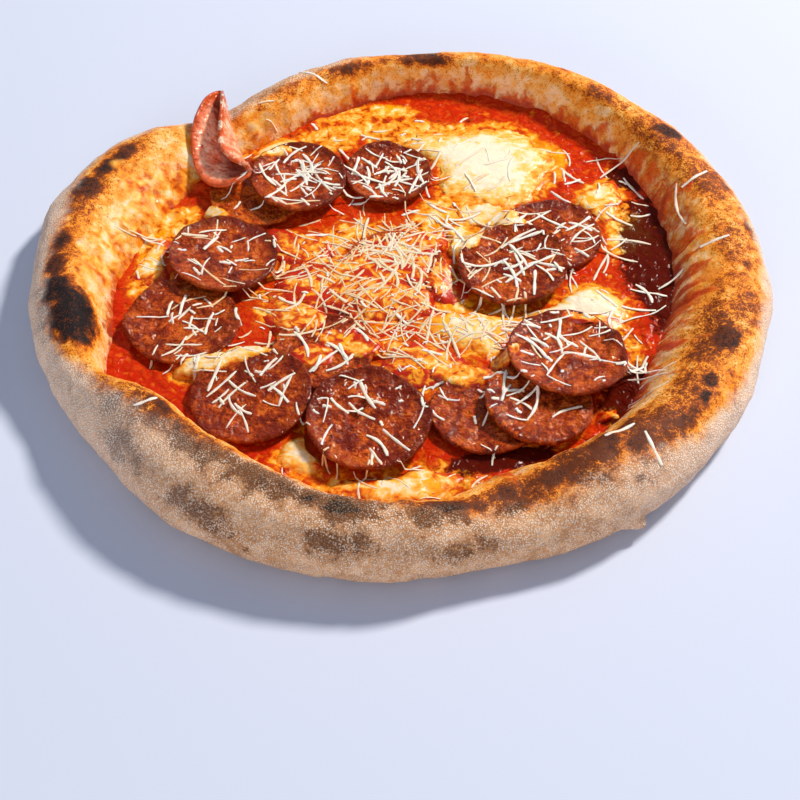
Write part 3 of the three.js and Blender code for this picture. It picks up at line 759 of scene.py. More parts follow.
def cheese_reach(patch, angle):
    """From a patch's middle to its wavy edge, which stops short of slices and of the rim."""
    x, y, long, wide, turn = patch[:5]
    local = angle - math.radians(turn)
    oval = 1 / math.hypot(math.cos(local) / long, math.sin(local) / wide)
    phase = x * 0.7 + y * 0.3
    wavy = oval * (1 + 0.1 * math.sin(3 * angle + phase) + 0.07 * math.sin(5 * angle - phase))
    steps = math.ceil(max(wavy - FELT_FROM, 0) / FELT_STEP) + 1
    reach = FELT_FROM + FELT_STEP * np.arange(steps)
    at_x = x + (reach + FELT_AHEAD) * math.cos(angle)
    at_y = y + (reach + FELT_AHEAD) * math.sin(angle)
    foot = rim_at(np.degrees(np.arctan2(at_y, at_x)))[2]
    stopped = np.hypot(at_x, at_y) > foot - 2
    for slice_x, slice_y, radius in SLICES[:, :3]:
        stopped |= np.hypot(at_x - slice_x, at_y - slice_y) < radius + CHEESE_CLEAR
    found = np.flatnonzero(stopped)
    return min(reach[found[0]] if len(found) else wavy, wavy)


CHEESE_ROUND = 150
CHEESE_TURN = np.arange(CHEESE_ROUND) * 2 * np.pi / CHEESE_ROUND
CHEESE_REACH = {
    name: np.array([cheese_reach(patch, angle) for angle in CHEESE_TURN])
    for name, patch in CHEESES.items()
}


def near_cheese(x, y):
    """1 inside a patch of mozzarella, falling to 0 at 6 mm from its edge."""
    best = np.zeros(np.shape(x))
    for name, patch in CHEESES.items():
        turn = np.arctan2(y - patch[1], x - patch[0])
        reach = np.interp(turn, CHEESE_TURN, CHEESE_REACH[name], period=2 * np.pi)
        beyond = np.hypot(x - patch[0], y - patch[1]) - reach
        best = np.maximum(best, 1 - smooth(beyond, 0, 6))
    return best


def beside_slices(x, y, slices):
    """1 under and right beside some slices, falling to 0 at 6 mm from their edges."""
    best = np.zeros(np.shape(x))
    for slice_x, slice_y, radius in slices[:, :3]:
        beyond = np.hypot(x - slice_x, y - slice_y) - radius
        best = np.maximum(best, 1 - smooth(beyond, 1, 6))
    return best


def sauce_level(x, y):
    """The level of the sauce, waving gently, without its lumps."""
    wave = np.sin(x * 0.21 + 1.3) * np.cos(y * 0.17 - 0.4) + 0.8 * np.sin(x * 0.09 - y * 0.13)
    return SAUCE_TOP + SAUCE_WAVE * wave / 1.8


def build_sauce():
    """Rings of places out to the rim, lumpy near it where no cheese has melted."""
    turn = np.arange(SAUCE_ROUND) * 360 / SAUCE_ROUND
    edge = rim_at(turn)[2] + 6
    share = (np.arange(1, SAUCE_RINGS + 1) / SAUCE_RINGS)[:, None]
    radius = share * edge[None, :]
    x = (radius * np.cos(np.radians(turn))).ravel()
    y = (radius * np.sin(np.radians(turn))).ravel()
    flat = on_table(x, y)
    near_rim = smooth(np.hypot(x, y), 80, 115)
    coarse = lumps(flat, 6, 13)
    melted = in_places(x, y, MELTED_PLACES) + 0.35 * lumps(flat, 13, 15)
    melted = smooth(melted + 0.22 * lumps(flat, 4.5, 16), -0.05, 0.5)
    melted = np.maximum(melted, 0.9 * near_cheese(x, y) * (0.75 + 0.35 * lumps(flat, 5, 17)))
    # Redder beside the slices: fat and sauce from them, and painted shade under their edges
    melted = melted * (1 - 0.5 * beside_slices(x, y, SLICES))
    dark_shade = smooth(in_places(x, y, DARK_SHADED_PLACES) + 0.25 * lumps(flat, 11, 18), -0.05, 0.5)
    z = sauce_level(x, y) + 0.35 * lumps(flat, 8, 11) + 0.25 * lumps(flat, 3.2, 12)
    chunky = near_rim * (1 - melted)
    z = z + chunky * (1.3 * np.abs(coarse) + 0.7 * np.abs(lumps(flat, 3, 14)) - 0.45)
    beside_wall = smooth(radius.ravel() - np.tile(edge, SAUCE_RINGS), -16, -3)
    z = z + beside_wall * 3.0 * np.maximum(lumps(flat, 7, 19) + 0.1, 0)
    points = np.stack([x, y, z], axis=-1)
    under = points[-SAUCE_ROUND:] * np.array([1, 1, 0]) + np.array([0, 0, BASE + GAP])
    points = between((0, 0, sauce_level(0, 0)), np.vstack([points, under]), (0, 0, BASE + GAP))
    melted = np.concatenate([[1], melted, np.zeros(SAUCE_ROUND + 1)])
    dark_shade = np.concatenate([[0], dark_shade, np.zeros(SAUCE_ROUND + 1)])
    return points, ring_faces(SAUCE_RINGS + 1, SAUCE_ROUND), {"melted": melted, "dark_shade": dark_shade}


BRIGHT_SAUCE = (0.80, 0.085, 0.006)
DARK_SHADED_SAUCE = (0.07, 0.004, 0.001)
OIL = (0.98, 0.40, 0.003)


def sauce_paint():
    """Red sauce, cream to orange where cheese has melted, dark where it is thick and as painted shade
    along the foot of the rim.
    """
    paint = Paint("tomato_sauce", Specular_IOR_Level=0.07)
    melted, dark_shade = paint.marks("melted", "dark_shade")
    broad = paint.noise(10, 3, 0.6, 0.5)
    middle = paint.noise(4, 2, 0.5, 0.5)
    fine = paint.noise(1.1, 2, 0.5)
    heat = 1.08 - melted * 0.60 + (broad - 0.5) * 0.9 + (middle - 0.5) * 1.4 + (fine - 0.5) * 0.3
    colour = melt_colour(heat)
    bright = (middle * 0.7 + broad * 0.6).step(0.62, 0.80) * 0.6
    colour = (bright * heat.step(0.8, 1.0)).shade(colour, BRIGHT_SAUCE)
    # Thick sauce and painted shade along the foot of the rim
    deep = dark_shade * 0.9 + (middle - 0.5) * 1.6 + (broad - 0.5) * 0.7 + (fine - 0.5) * 0.4
    colour = (deep.step(0.10, 0.65) * 0.97).shade(colour, DARK_SHADED_SAUCE)
    oil = (paint.noise(14, 2, 0.5, 0.3) + (middle - 0.5) * 0.35).step(0.60, 0.68)
    oil = oil * melted.step(0.3, 0.8)
    colour = (oil * 0.7 * (1 - dark_shade)).shade(colour, OIL)
    normal = paint.bump((middle, 1.3), (fine, 0.15))
    return paint.fill(Base_Color=colour, Roughness=0.07 + fine * 0.1, Normal=normal)


cover(dough_points, dough_faces)
sauce_points, sauce_faces, sauce_marks = build_sauce()
cover(sauce_points, sauce_faces)
sauce = lay_mesh("sauce", sauce_points, sauce_faces, sauce_paint(), sauce_marks)
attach(sauce, "root")
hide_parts("tomato_sauce")

# ------------------------------------------------------------------ the mozzarella
# Torn lumps of mozzarella have melted into flat patches. They are white and smooth in the
# middle, yellow with fat towards the edge, and sink into the sauce there.

CHEESE_RINGS = 40


def cheese_level(name, x, y):
    """The level of a patch's upper side at a place, or None beside it."""
    patch = CHEESES[name]
    reach = cheese_reach(patch, math.atan2(y - patch[1], x - patch[0]))
    share = math.hypot(x - patch[0], y - patch[1]) / reach
    if share > 1:
        return None
    dome = (1 - share**2.4) ** 0.75
    lump = 0.25 * math.sin(x * 0.33) * math.sin(y * 0.41 + 1) * dome
    return BED + CHEESE_EDGE + (patch[5] - CHEESE_EDGE) * dome + lump


def build_cheese(name):
    """One patch, with a ragged edge that sinks into the sauce."""
    patch = CHEESES[name]
    edge = CHEESE_REACH[name]
    edge = (np.roll(edge, 1) + 2 * edge + np.roll(edge, -1)) / 4
    share = (np.arange(1, CHEESE_RINGS + 1) / CHEESE_RINGS)[:, None] ** 0.8
    far = share * edge[None, :]
    x = (patch[0] + far * np.cos(CHEESE_TURN)).ravel()
    y = (patch[1] + far * np.sin(CHEESE_TURN)).ravel()
    share = (share + far * 0).ravel()
    flat = on_table(x, y)
    ragged = 1 + (0.16 * lumps(flat, 7, 21) + 0.10 * lumps(flat, 2.2, 22)) * smooth(share, 0.3, 1)
    x = patch[0] + (x - patch[0]) * ragged
    y = patch[1] + (y - patch[1]) * ragged
    dome = (1 - np.clip(share, 0, 1) ** 2) ** 1.1
    inside = 1 - smooth(share, 0.6, 1)
    z = (sauce_level(x, y) - 0.3) * (1 - inside) + (BED - 0.1) * inside
    z = z + (patch[5] - 0.5) * dome * 0.9 + 0.2 * np.sin(x * 0.33) * np.sin(y * 0.41 + 1) * dome
    z = z + dome**0.5 * (0.35 * lumps(flat, 7, 23) + 0.1 * lumps(flat, 2.4, 24))
    points = np.stack([x, y, z], axis=-1)
    under = points[-CHEESE_ROUND:] - np.array([0, 0, 0.6])
    top = (*patch[:2], z[:CHEESE_ROUND].mean())
    points = between(top, np.vstack([points, under]), (*patch[:2], BED - 1.4))
    edge = np.concatenate([[0], share, np.ones(CHEESE_ROUND + 1)])
    # Warmer beside the slices: their fat, and painted shade under their edges
    warm = patch[6] + 0.40 * beside_slices(points[:, 0], points[:, 1], SLICES)
    return points, ring_faces(CHEESE_RINGS + 1, CHEESE_ROUND), {"edge": edge, "warm": warm}


YELLOW_FAT = (0.98, 0.42, 0.003)


def cheese_paint():
    """White in the middle of a patch, yellow to orange at its edge, with some fat."""
    paint = Paint(
        "melted_mozzarella", Specular_IOR_Level=0.3, Subsurface_Weight=0.15, Subsurface_Scale=2 * MM
    )
    edge, warm = paint.marks("edge", "warm")
    broad = paint.noise(12, 3, 0.6, 0.6)
    middle = paint.noise(4.5, 2, 0.55, 0.8)
    fine = paint.noise(1.0, 3, 0.6, 0.5)
    strings = paint.noise(3.0, 4, 0.7, 0.6, stretch=(0.35, 1.3, 1))
    heat = edge**2.5 * 0.60 - 0.02 + warm * 0.95 + (broad - 0.5) * (0.4 + warm * 1.4)
    heat = heat + (middle - 0.5) * (0.4 + warm * 2.2 + edge * 0.5)
    heat = heat + (strings - 0.5) * 0.8 * edge.step(0.2, 0.8) + (fine - 0.5) * 0.15
    colour = melt_colour(heat)
    fat = (paint.noise(15, 2, 0.5, 0.3) + (middle - 0.5) * 0.35).step(0.60, 0.68)
    fat = fat * (1 - heat.step(0.5, 0.8)) * warm.step(0.0, 0.2)
    colour = (fat * 0.8).shade(colour, YELLOW_FAT)
    normal = paint.bump((middle, 0.35), (strings, 0.25), (fine, 0.1))
    return paint.fill(Base_Color=colour, Roughness=0.14 + fine * 0.16, Normal=normal)


cheese_material = cheese_paint()
for name in CHEESES:
    points, faces, marks = build_cheese(name)
    cover(points, faces)
    piece = lay_mesh(f"mozzarella_{name}_melted", points, faces, cheese_material, marks)
    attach(piece, "root")
    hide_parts(f"mozzarella_{name}")

# ------------------------------------------------------------------ the slices of salami
# Fourteen round slices lie on the sauce and partly on one another. In the heat their edges
# curled up and darkened, their faces crumpled, and fat came out on top of them. Their dark
# rims also carry painted shade, most on their back sides.

SLICE_ROUND = 128
SLICE_RINGS = 42
# How crumpled, how dark and how dark-rimmed each slice is, in the order of SLICES
CRUMPLED = [0.6, 0.6, 0.8, 0.8, 1.6, 1.1, 0.8, 1.3, 1.0, 1.1, 1.0, 1.4, 1.2, 1.5]
DARKENED = [-0.6, 0.3, -1.5, 0.5, 0.5, 0.3, 0.5, 0.7, 0.6, 0.2, 0.4, 0.6, 0.3, 0.1]
RIMMED = [0.0, 0.1, 0.1, 0.5, 0.45, 0.2, 0.7, 0.95, 0.85, 0.95, 1.0, 0.6, 0.25, 0.8]
# Dents and swellings: slice, counted from 0, middle from the slice's own middle, half length,
# half width, turn and height
CREASES = [
    (7, -4, 6, 15, 3.2, 65, -2.0), (7, -13, -1, 8, 10, 0, 1.2), (7, 6, 1, 8, 6, 10, 1.0),
    (4, 4, 9, 11, 6, -20, 1.4), (4, -10, 2, 3, 12, -20, -1.0), (13, 3, -2, 12, 5, 10, 1.5),
    (13, -9, -9, 7, 6, 0, -1.0), (13, 20, 6, 3.2, 12, -10, 2.2), (13, 15, 6, 2.5, 12, -10, -1.2),
    (11, 6, -2, 12, 4, 20, 1.0), (11, -5, 8, 14, 3, 10, -1.0), (6, -2, 8, 14, 2.5, 10, 0.7),
    (6, 6, -4, 16, 2.5, 10, -0.6), (10, -8, 14, 12, 4, 30, 0.8), (9, 12, 3, 4, 12, 0, 1.0),
    (5, 8, -4, 10, 4, -20, 1.0), (12, 2, 4, 12, 4, 30, 1.0), (12, -8, -6, 8, 4, 80, -0.8),
]


HALVINGS = 24
# Each slice is tried on what is under it at this many rings and spokes of places
TRIED_RINGS = 8
TRIED_ROUND = 40


def dough_level(x, y):
    """The level of the dough's upper side, without its relief. Halving the wall again and again
    finds the place on it that has the right radius."""
    outer, crest, foot, height = rim_at(np.degrees(np.arctan2(y, x)))
    radius = np.hypot(x, y)
    low = np.zeros_like(radius)
    high = np.ones_like(radius)
    for _ in range(HALVINGS):
        half = (low + high) / 2
        beyond = crest - (crest - foot) * inner_wall(half)[0] > radius
        low = np.where(beyond, half, low)
        high = np.where(beyond, high, half)
    wall = BASE + (height - BASE) * inner_wall(low)[1]
    out = np.clip((radius - crest) / (outer - crest), 0, 1)
    middle = WIDEST_AT * height
    beyond_crest = middle + (height - middle) * np.sqrt(1 - out * out)
    level = np.where(radius >= crest, beyond_crest, wall)
    return np.where(radius <= foot, BASE, level)


def slice_rise(row, x, y):
    """How far a slice rises at a place, by its slope and its curled edge."""
    slice_x, slice_y, radius, cup, slope, climbs = row
    share = np.hypot(x - slice_x, y - slice_y) / radius
    turn = math.radians(climbs)
    climb = (x - slice_x) * math.cos(turn) + (y - slice_y) * math.sin(turn)
    return climb * math.tan(math.radians(slope)) + cup * share**3


def lay_slices():
    """Lowers each slice until it touches what is under it."""
    found = []
    ring, spoke = np.meshgrid(np.arange(TRIED_RINGS + 1), np.arange(TRIED_ROUND))
    ring = ring.ravel()
    turn = spoke.ravel() * 2 * np.pi / TRIED_ROUND
    for index, row in enumerate(SLICES):
        radius = (row[2] + 0.4) * ring / TRIED_RINGS
        x = row[0] + radius * np.cos(turn)
        y = row[1] + radius * np.sin(turn)
        under = np.maximum(BED, dough_level(x, y) + GAP)
        for lower, level in zip(SLICES[:index], found):
            over = np.hypot(x - lower[0], y - lower[1]) < lower[2] + 0.8
            carried = level + slice_rise(lower, x, y) + GAP + 0.1
            under = np.where(over, np.maximum(under, carried), under)
        found.append(float((under + SLICE - slice_rise(row, x, y)).max()))
    return found


SLICE_LEVELS = lay_slices()


def build_slice(index):
    """One slice, with a crumpled face, a curled edge and a smaller underside."""
    row = SLICES[index]
    level = SLICE_LEVELS[index]
    crumpled = CRUMPLED[index]
    seed = 31 + index * 5
    turn = np.arange(SLICE_ROUND) * 2 * np.pi / SLICE_ROUND
    ring = np.stack([np.cos(turn), np.sin(turn), turn * 0], axis=-1) * 3
    ripple = lumps(ring, 1.5, seed)
    shares = np.arange(1, SLICE_RINGS + 1) / SLICE_RINGS
    share = shares[:, None] + turn * 0
    radius = share * row[2] * (1 + 0.045 * ripple * shares[:, None] ** 2)
    x = (row[0] + radius * np.cos(turn)).ravel()
    y = (row[1] + radius * np.sin(turn)).ravel()
    share = share.ravel()
    flat = on_table(x, y)
    rise = slice_rise(row, x, y)
    bumps = 0.5 * lumps(flat, 8, seed + 1) + 0.45 * lumps(flat, 3.6, seed + 2)
    bumps = bumps * crumpled + 0.09 * lumps(flat, 1.5, seed + 3)
    for slice_index, dx, dy, long, wide, crease_turn, height in CREASES:
        if slice_index == index:
            place = [(row[0] + dx, row[1] + dy, long, wide, crease_turn)]
            bumps = bumps + height * smooth(in_places(x, y, place), 0, 0.9)
    curl = 1.0 * np.tile(ripple, SLICE_RINGS) * share**5 * crumpled
    lip = 0.25 * smooth(share, 0.86, 0.96) - 0.5 * smooth(share, 0.965, 1.0)
    top = level + rise + bumps + curl + lip
    points = np.stack([x, y, top], axis=-1)
    rim = points[-SLICE_ROUND:]
    side = rim - np.array([0, 0, SLICE - 0.9])
    under = (rim - np.array([row[0], row[1], 0])) * np.array([0.96, 0.96, 1])
    under = under + np.array([row[0], row[1], 0.3 - SLICE])
    middle = (*row[:2], top[:SLICE_ROUND].mean())
    points = between(middle, np.vstack([points, side, under]), (*row[:2], level - SLICE))
    share = np.concatenate([[0], share, np.ones(2 * SLICE_ROUND + 1)])
    # How far towards the back right a place lies; the rim gets its painted shade there
    back_shade = (points[:, 1] - row[1] + 0.6 * (points[:, 0] - row[0])) / row[2]
    marks = {
        "share": share,
        "back_shade": back_shade,
        "darkened": np.full(len(share), DARKENED[index]),
        "rimmed": np.full(len(share), RIMMED[index]),
    }
    return points, ring_faces(SLICE_RINGS + 2, SLICE_ROUND), marks


LEAN_MEAT = (0.17, 0.014, 0.003)
RED_MEAT = (0.48, 0.055, 0.005)
ORANGE_FAT = (0.66, 0.145, 0.014)
FAT_FLECKS = (0.85, 0.34, 0.09)
DARK_RIM_AND_SHADE = (0.10, 0.007, 0.003)
PEPPER = (0.10, 0.008, 0.002)
WARM_SHINE = (1.0, 0.82, 0.64)


def salami_paint():
    """Cured sausage: red-brown meat, orange where fat came out, darker towards the rim, partly as painted
    shade on its back side, oily.
    """
    paint = Paint("cured_sausage", Specular_IOR_Level=0.27, Specular_Tint=WARM_SHINE)
    share, back_shade, darkened, rimmed = paint.marks("share", "back_shade", "darkened", "rimmed")
    broad = paint.noise(11, 3, 0.6, 0.5)
    middle = paint.noise(4.2, 4, 0.6, 0.8)
    fine = paint.noise(0.8, 3, 0.65)
    colour = (broad * 0.7 + middle * 0.5 - darkened * 0.06).step(0.44, 0.72).shade(LEAN_MEAT, RED_MEAT)
    fat = (middle + (fine - 0.5) * 0.45 + (broad - 0.5) * 0.5 - darkened * 0.05).step(0.44, 0.74)
    colour = (fat * 0.85).shade(colour, ORANGE_FAT)
    flecks = (1 - paint.cells(1.7).step(0.08, 0.24)) * fine.step(0.42, 0.6)
    colour = (flecks * 0.4).shade(colour, FAT_FLECKS)
    # The dark rim: baked edge and painted shade, leaning to the back side of each slice
    place = share + (broad - 0.5) * 0.30 + (middle - 0.5) * 0.16 + (back_shade - 0.5) * 0.12
    speckled = place.step(0.70, 0.98) * (0.55 + 0.45 * fine.step(0.35, 0.6))
    colour = (speckled * rimmed * 0.95).shade(colour, DARK_RIM_AND_SHADE)
    pepper = 1 - (fine + (middle - 0.5) * 0.3).step(0.36, 0.52)
    colour = (pepper * 0.55).shade(colour, PEPPER)
    swells = paint.noise(6, 1, 0.4)
    wrinkles = paint.noise(2.2, 1, 0.4, 0.4)
    normal = paint.bump((swells, 2.4), (wrinkles, 1.25), (fine, 0.15))
    return paint.fill(Base_Color=colour, Roughness=0.04 + fine * 0.05, Normal=normal)


# The melted layers that ran over slices: for each, its places with half length, half width and
# turn, its thickness, how orange it is and the slice on which it is laid
FILMS = {
    "centre": ([(-24, 14, 32, 20, 10), (-2, 0, 24, 12, -10), (-46, 36, 20, 12, -20), (10, 36, 18, 9, 20),
                (-44, -10, 16, 9, 0), (-20, -26, 18, 8, -15), (4, -44, 24, 7, -5), (22, 12, 10, 16, 10),
                (-2, 24, 22, 18, 0), (-36, -34, 12, 8, 0)],
               0.5, 0.64, 3),
    "over_back_slices": ([(-82, 80, 7, 6, 0), (-60, 92, 12, 5, 10), (-84, 55, 8, 4.5, -30)],
                         0.5, 0.30, 14),
    "over_right_slices": ([(40, 56, 16, 9, -20), (52, 46, 10, 6, 10), (31, 38, 9, 13, 10)], 0.6, 0.16, 14),
    "beside_front_slices": ([(28, -44, 20, 7, -10), (86, -14, 16, 6, 0), (46, -38, 8, 6, 30)],
                            0.4, 0.5, 14),
    "beside_left_slices": ([(-80, -38, 17, 6, 12), (-64, -32, 12, 5, 0)], 0.5, 0.14, 14),
}


FILM_GRID = 0.8


def widened(field, reach):
    """A field with its high places grown by that many grid steps each way."""
    for axis in (0, 1):
        field = np.max([np.roll(field, k, axis=axis) for k in range(-reach, reach + 1)], axis=0)
    return field


def build_film(places, thickness, warm, later_slices):
    """A thin melted layer over whatever lies in those places. Its edge sinks into what is below,
    and it is warmer beside the slices that are laid after it: fat from them, and painted shade
    under their edges."""
    under = softened(np.minimum(widened(levels, 5), levels + 2.6), 5)
    middle = np.array([place[:2] for place in places])
    reach = np.array([[max(place[2:4])] * 2 for place in places]) * 1.3
    low = (middle - reach).min(axis=0)
    high = (middle + reach).max(axis=0)
    xs = np.arange(low[0], high[0], FILM_GRID)
    ys = np.arange(low[1], high[1], FILM_GRID)
    x, y = (grid.ravel() for grid in np.meshgrid(xs, ys))
    flat = on_table(x, y)
    inside = in_places(x, y, places) + 0.26 * lumps(flat, 7, 61) + 0.16 * lumps(flat, 2.4, 62)
    there = level_at(x, y, levels)
    carried = np.maximum(level_at(x, y, under), there - 0.3)
    spread = smooth(inside, 0, 0.3)
    z = there * (1 - spread) + carried * spread - 0.7 + spread * (0.7 + thickness)
    z = z + 0.25 * lumps(flat, 4.5, 63) * smooth(inside, 0, 0.4)
    width = len(xs)
    shown = (inside > -0.02).reshape(len(ys), width)
    faces = []
    for j in range(len(ys) - 1):
        for i in range(width - 1):
            if shown[j:j + 2, i:i + 2].all():
                a = j * width + i
                faces.append((a, a + 1, a + 1 + width, a + width))
    used = np.unique(np.array(faces))
    number = np.full(len(x), -1)
    number[used] = np.arange(len(used))
    points = np.stack([x, y, z], axis=-1)[used]
    faces = [tuple(number[list(face)]) for face in faces]
    # Warmer beside later slices: their fat, and painted shade under their edges
    warm = warm + 0.40 * beside_slices(points[:, 0], points[:, 1], later_slices)
    marks = {"edge": 1 - 0.6 * smooth(inside, 0, 0.5)[used], "warm": warm}
    return points, faces, marks


salami_material = salami_paint()
for index in range(len(SLICES)):
    points, faces, marks = build_slice(index)
    cover(points, faces)
    piece = lay_mesh(f"salami_{index + 1}_baked", points, faces, salami_material, marks)
    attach(piece, "root")
    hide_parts(f"salami_{index + 1}")
    for film_name, (places, thickness, warm, carrier) in FILMS.items():
        if carrier == index + 1:
            points, faces, marks = build_film(places, thickness, warm, SLICES[carrier:])
            cover(points, faces)
            piece = lay_mesh(f"melted_film_{film_name}", points, faces, cheese_material, marks)
            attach(piece, "root")

# ------------------------------------------------------------------ the folded slice
# One slice is folded like a shell. Its foot rests on another slice and its left leaf lies up the
# rim. Its right leaf bends over the fold, and its head sticks out over the crest.

# The fold's keel runs from its foot over a sag to its head. Across the keel come the half widths
# of its two leaves, then how sharply it bends and how far up each leaf stands, at foot and head.
FOLD_FOOT = np.array([-70.5, 68, 19.5])
FOLD_SAG = np.array([-79, 92.5, 2])
FOLD_HEAD = np.array([-86.5, 120.5, 29])
FOLD_HALF = (20.5, 20)
FOLD_BEND = (4, 2.6)
FOLD_LEFT = (-14, 39)
FOLD_RIGHT = (159, 98)
FOLD_SQUARENESS = 2.3
FOLD_ROUND = 180
FOLD_RINGS = 36


def fold_place(lengthwise, crosswise, inwards):
    """A place on the sheet, along its keel and across it, both counted from -1 to 1."""
    share = (lengthwise + 1) / 2
    point = (1 - share) ** 2 * FOLD_FOOT[:, None] + 2 * share * (1 - share) * FOLD_SAG[:, None]
    point = point + share**2 * FOLD_HEAD[:, None]
    along = (1 - share) * (FOLD_SAG - FOLD_FOOT)[:, None] + share * (FOLD_HEAD - FOLD_SAG)[:, None]
    along = along / np.linalg.norm(along, axis=0)
    side = np.cross(along, np.array([0, 0, 1])[:, None], axis=0)
    side = side / np.linalg.norm(side, axis=0)
    up = np.cross(side, along, axis=0)
    changes = (FOLD_BEND, FOLD_LEFT, FOLD_RIGHT)
    bend, left, right = (foot + (head - foot) * share for foot, head in changes)
    spread = np.radians(np.where(crosswise < 0, left, right))
    arc = np.abs(crosswise) * np.where(crosswise < 0, *FOLD_HALF)
    angle = np.minimum(arc / bend, spread)
    straight = np.maximum(arc - bend * spread, 0)
    across = (bend - inwards) * np.sin(angle) + straight * np.cos(angle)
    rise = bend - (bend - inwards) * np.cos(angle) + straight * np.sin(angle)
    return (point + side * np.sign(crosswise) * across + up * rise).T


def build_fold():
    """The sheet's upper side ring by ring from its middle, then its lower side back again."""
    turn = np.arange(FOLD_ROUND) * 2 * np.pi / FOLD_ROUND

    def rounded(value):
        return np.sign(value) * np.abs(value) ** (2 / FOLD_SQUARENESS)

    def ring(share, inwards):
        return fold_place(share * rounded(np.sin(turn)), share * rounded(np.cos(turn)), inwards)

    shares = np.arange(1, FOLD_RINGS + 1) / FOLD_RINGS
    none = np.zeros(1)
    upper = [ring(share, SLICE - 0.3 * smooth(np.array(share), 0.9, 1)) for share in shares]
    lower = [ring(share, 0.3 * smooth(np.array(share), 0.9, 1)) for share in shares[::-1]]
    rings = np.vstack([*upper, *lower])
    middle, below = (fold_place(none, none, inwards)[0] for inwards in (SLICE, 0))
    share = np.concatenate([np.repeat(shares, FOLD_ROUND), np.repeat(shares[::-1], FOLD_ROUND)])
    right = np.tile(np.cos(turn) > 0.15, 2 * FOLD_RINGS)
    relief = 0.5 * lumps(rings, 6, 71) + 0.22 * lumps(rings, 2.2, 72)
    rings = rings + relief[:, None] * np.array([0.6, -0.5, 0.6])
    points = between(middle, rings, below)
    right = between(0, right * share, 0)
    share = between(0, share, 0)
    # How deep in the fold a place lies, where painted shade is put
    inner = np.tile(np.abs(np.cos(turn)), FOLD_RINGS) * np.repeat(shares, FOLD_ROUND)
    fold_shade = np.concatenate([[1], 1 - inner, np.zeros(FOLD_ROUND * FOLD_RINGS + 1)])
    marks = {"share": share, "right": right, "fold_shade": fold_shade}
    return points, ring_faces(2 * FOLD_RINGS, FOLD_ROUND), marks


# The fold's meat is painted lighter than that of the flat slices: painted light
LIT_PINK_MEAT = (0.90, 0.16, 0.06)
LIT_PALE_MEAT = (1.0, 0.50, 0.31)
FAT_GRAINS = (1.0, 0.60, 0.40)
SHADE_IN_FOLD = (0.20, 0.020, 0.010)
RED_EDGE = (0.60, 0.075, 0.008)
CLINGING_CHEESE = (0.94, 0.74, 0.52)


def fold_paint():
    """The folded slice is pink inside, painted lighter than the flat slices as painted light, with painted
    shade deep in its fold and red edges. Cheese clings to its right edge.
    """
    paint = Paint("folded_sausage", Specular_IOR_Level=0.35)
    share, right, fold_shade = paint.marks("share", "right", "fold_shade")
    broad = paint.noise(9, 3, 0.6, 0.5)
    middle = paint.noise(3.0, 4, 0.65, 0.6)
    fine = paint.noise(0.9, 3, 0.65)
    colour = (broad * 0.6 + middle * 0.7).step(0.48, 0.78).shade(LIT_PINK_MEAT, LIT_PALE_MEAT)
    colour = ((middle + (fine - 0.5) * 0.9).step(0.56, 0.74) * 0.7).shade(colour, FAT_GRAINS)
    # Painted shade deep in the fold, under the right leaf
    colour = (fold_shade.step(0.50, 0.90) * 0.85).shade(colour, SHADE_IN_FOLD)
    rim = share + (broad - 0.5) * 0.18
    colour = (rim.step(0.80, 0.97) * 0.9).shade(colour, RED_EDGE)
    clings = (right * 0.55 + (middle - 0.5) * 1.2 + (broad - 0.5) * 1.0).step(0.50, 0.72)
    colour = (clings * 0.85).shade(colour, CLINGING_CHEESE)
    swells = paint.noise(5, 1, 0.4)
    wrinkles = paint.noise(2.2, 1, 0.4, 0.4)
    normal = paint.bump((swells, 2.4), (wrinkles, 1.2), (fine, 0.15))
    return paint.fill(Base_Color=colour, Roughness=0.06 + fine * 0.07, Normal=normal)


fold_points, fold_faces, fold_marks = build_fold()
cover(fold_points, fold_faces)
fold = lay_mesh("salami_folded_baked", fold_points, fold_faces, fold_paint(), fold_marks)
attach(fold, "root")
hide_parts("salami_folded")

# ------------------------------------------------------------------ the grated cheese
# Hard cheese was grated over the hot pizza. The strands are flat ribbons, white and crisp on
# the slices, and half melted and tinted orange over the middle.

STRAND_WIDTH = 1.5
STRAND_HEIGHT = 0.42
STRAND_STEPS = 8
SEED = 29
# The longest strands: how many are strewn, their lengths, how far they stay from the edge of what
# they lie on and from the fold, and the most places that are tried
STREWN = 80
STREWN_SHORTEST = 8
STREWN_LONGEST = 19
EDGE_CLEAR = 1.3
FOLD_CLEAR = 21
MOST_TRIES = 20000
# The heaps in which they are strewn: middle, spread both ways and share of them
HEAPS = [
    (-6, 8, 40, 34, 0.46), (-26, 77, 27, 10, 0.18), (62, 12, 32, 40, 0.18), (0, -20, 72, 52, 0.18),
]
# Those that fell on the rim: middle, turn and length
ON_RIM = [
    (88, -93.6, 27, 14), (100, -101, -64, 14), (-100.5, -80, 24, 10), (-42, 138, -28, 16),
    (137, 63, 35, 15), (141, 22, 12, 13),
]
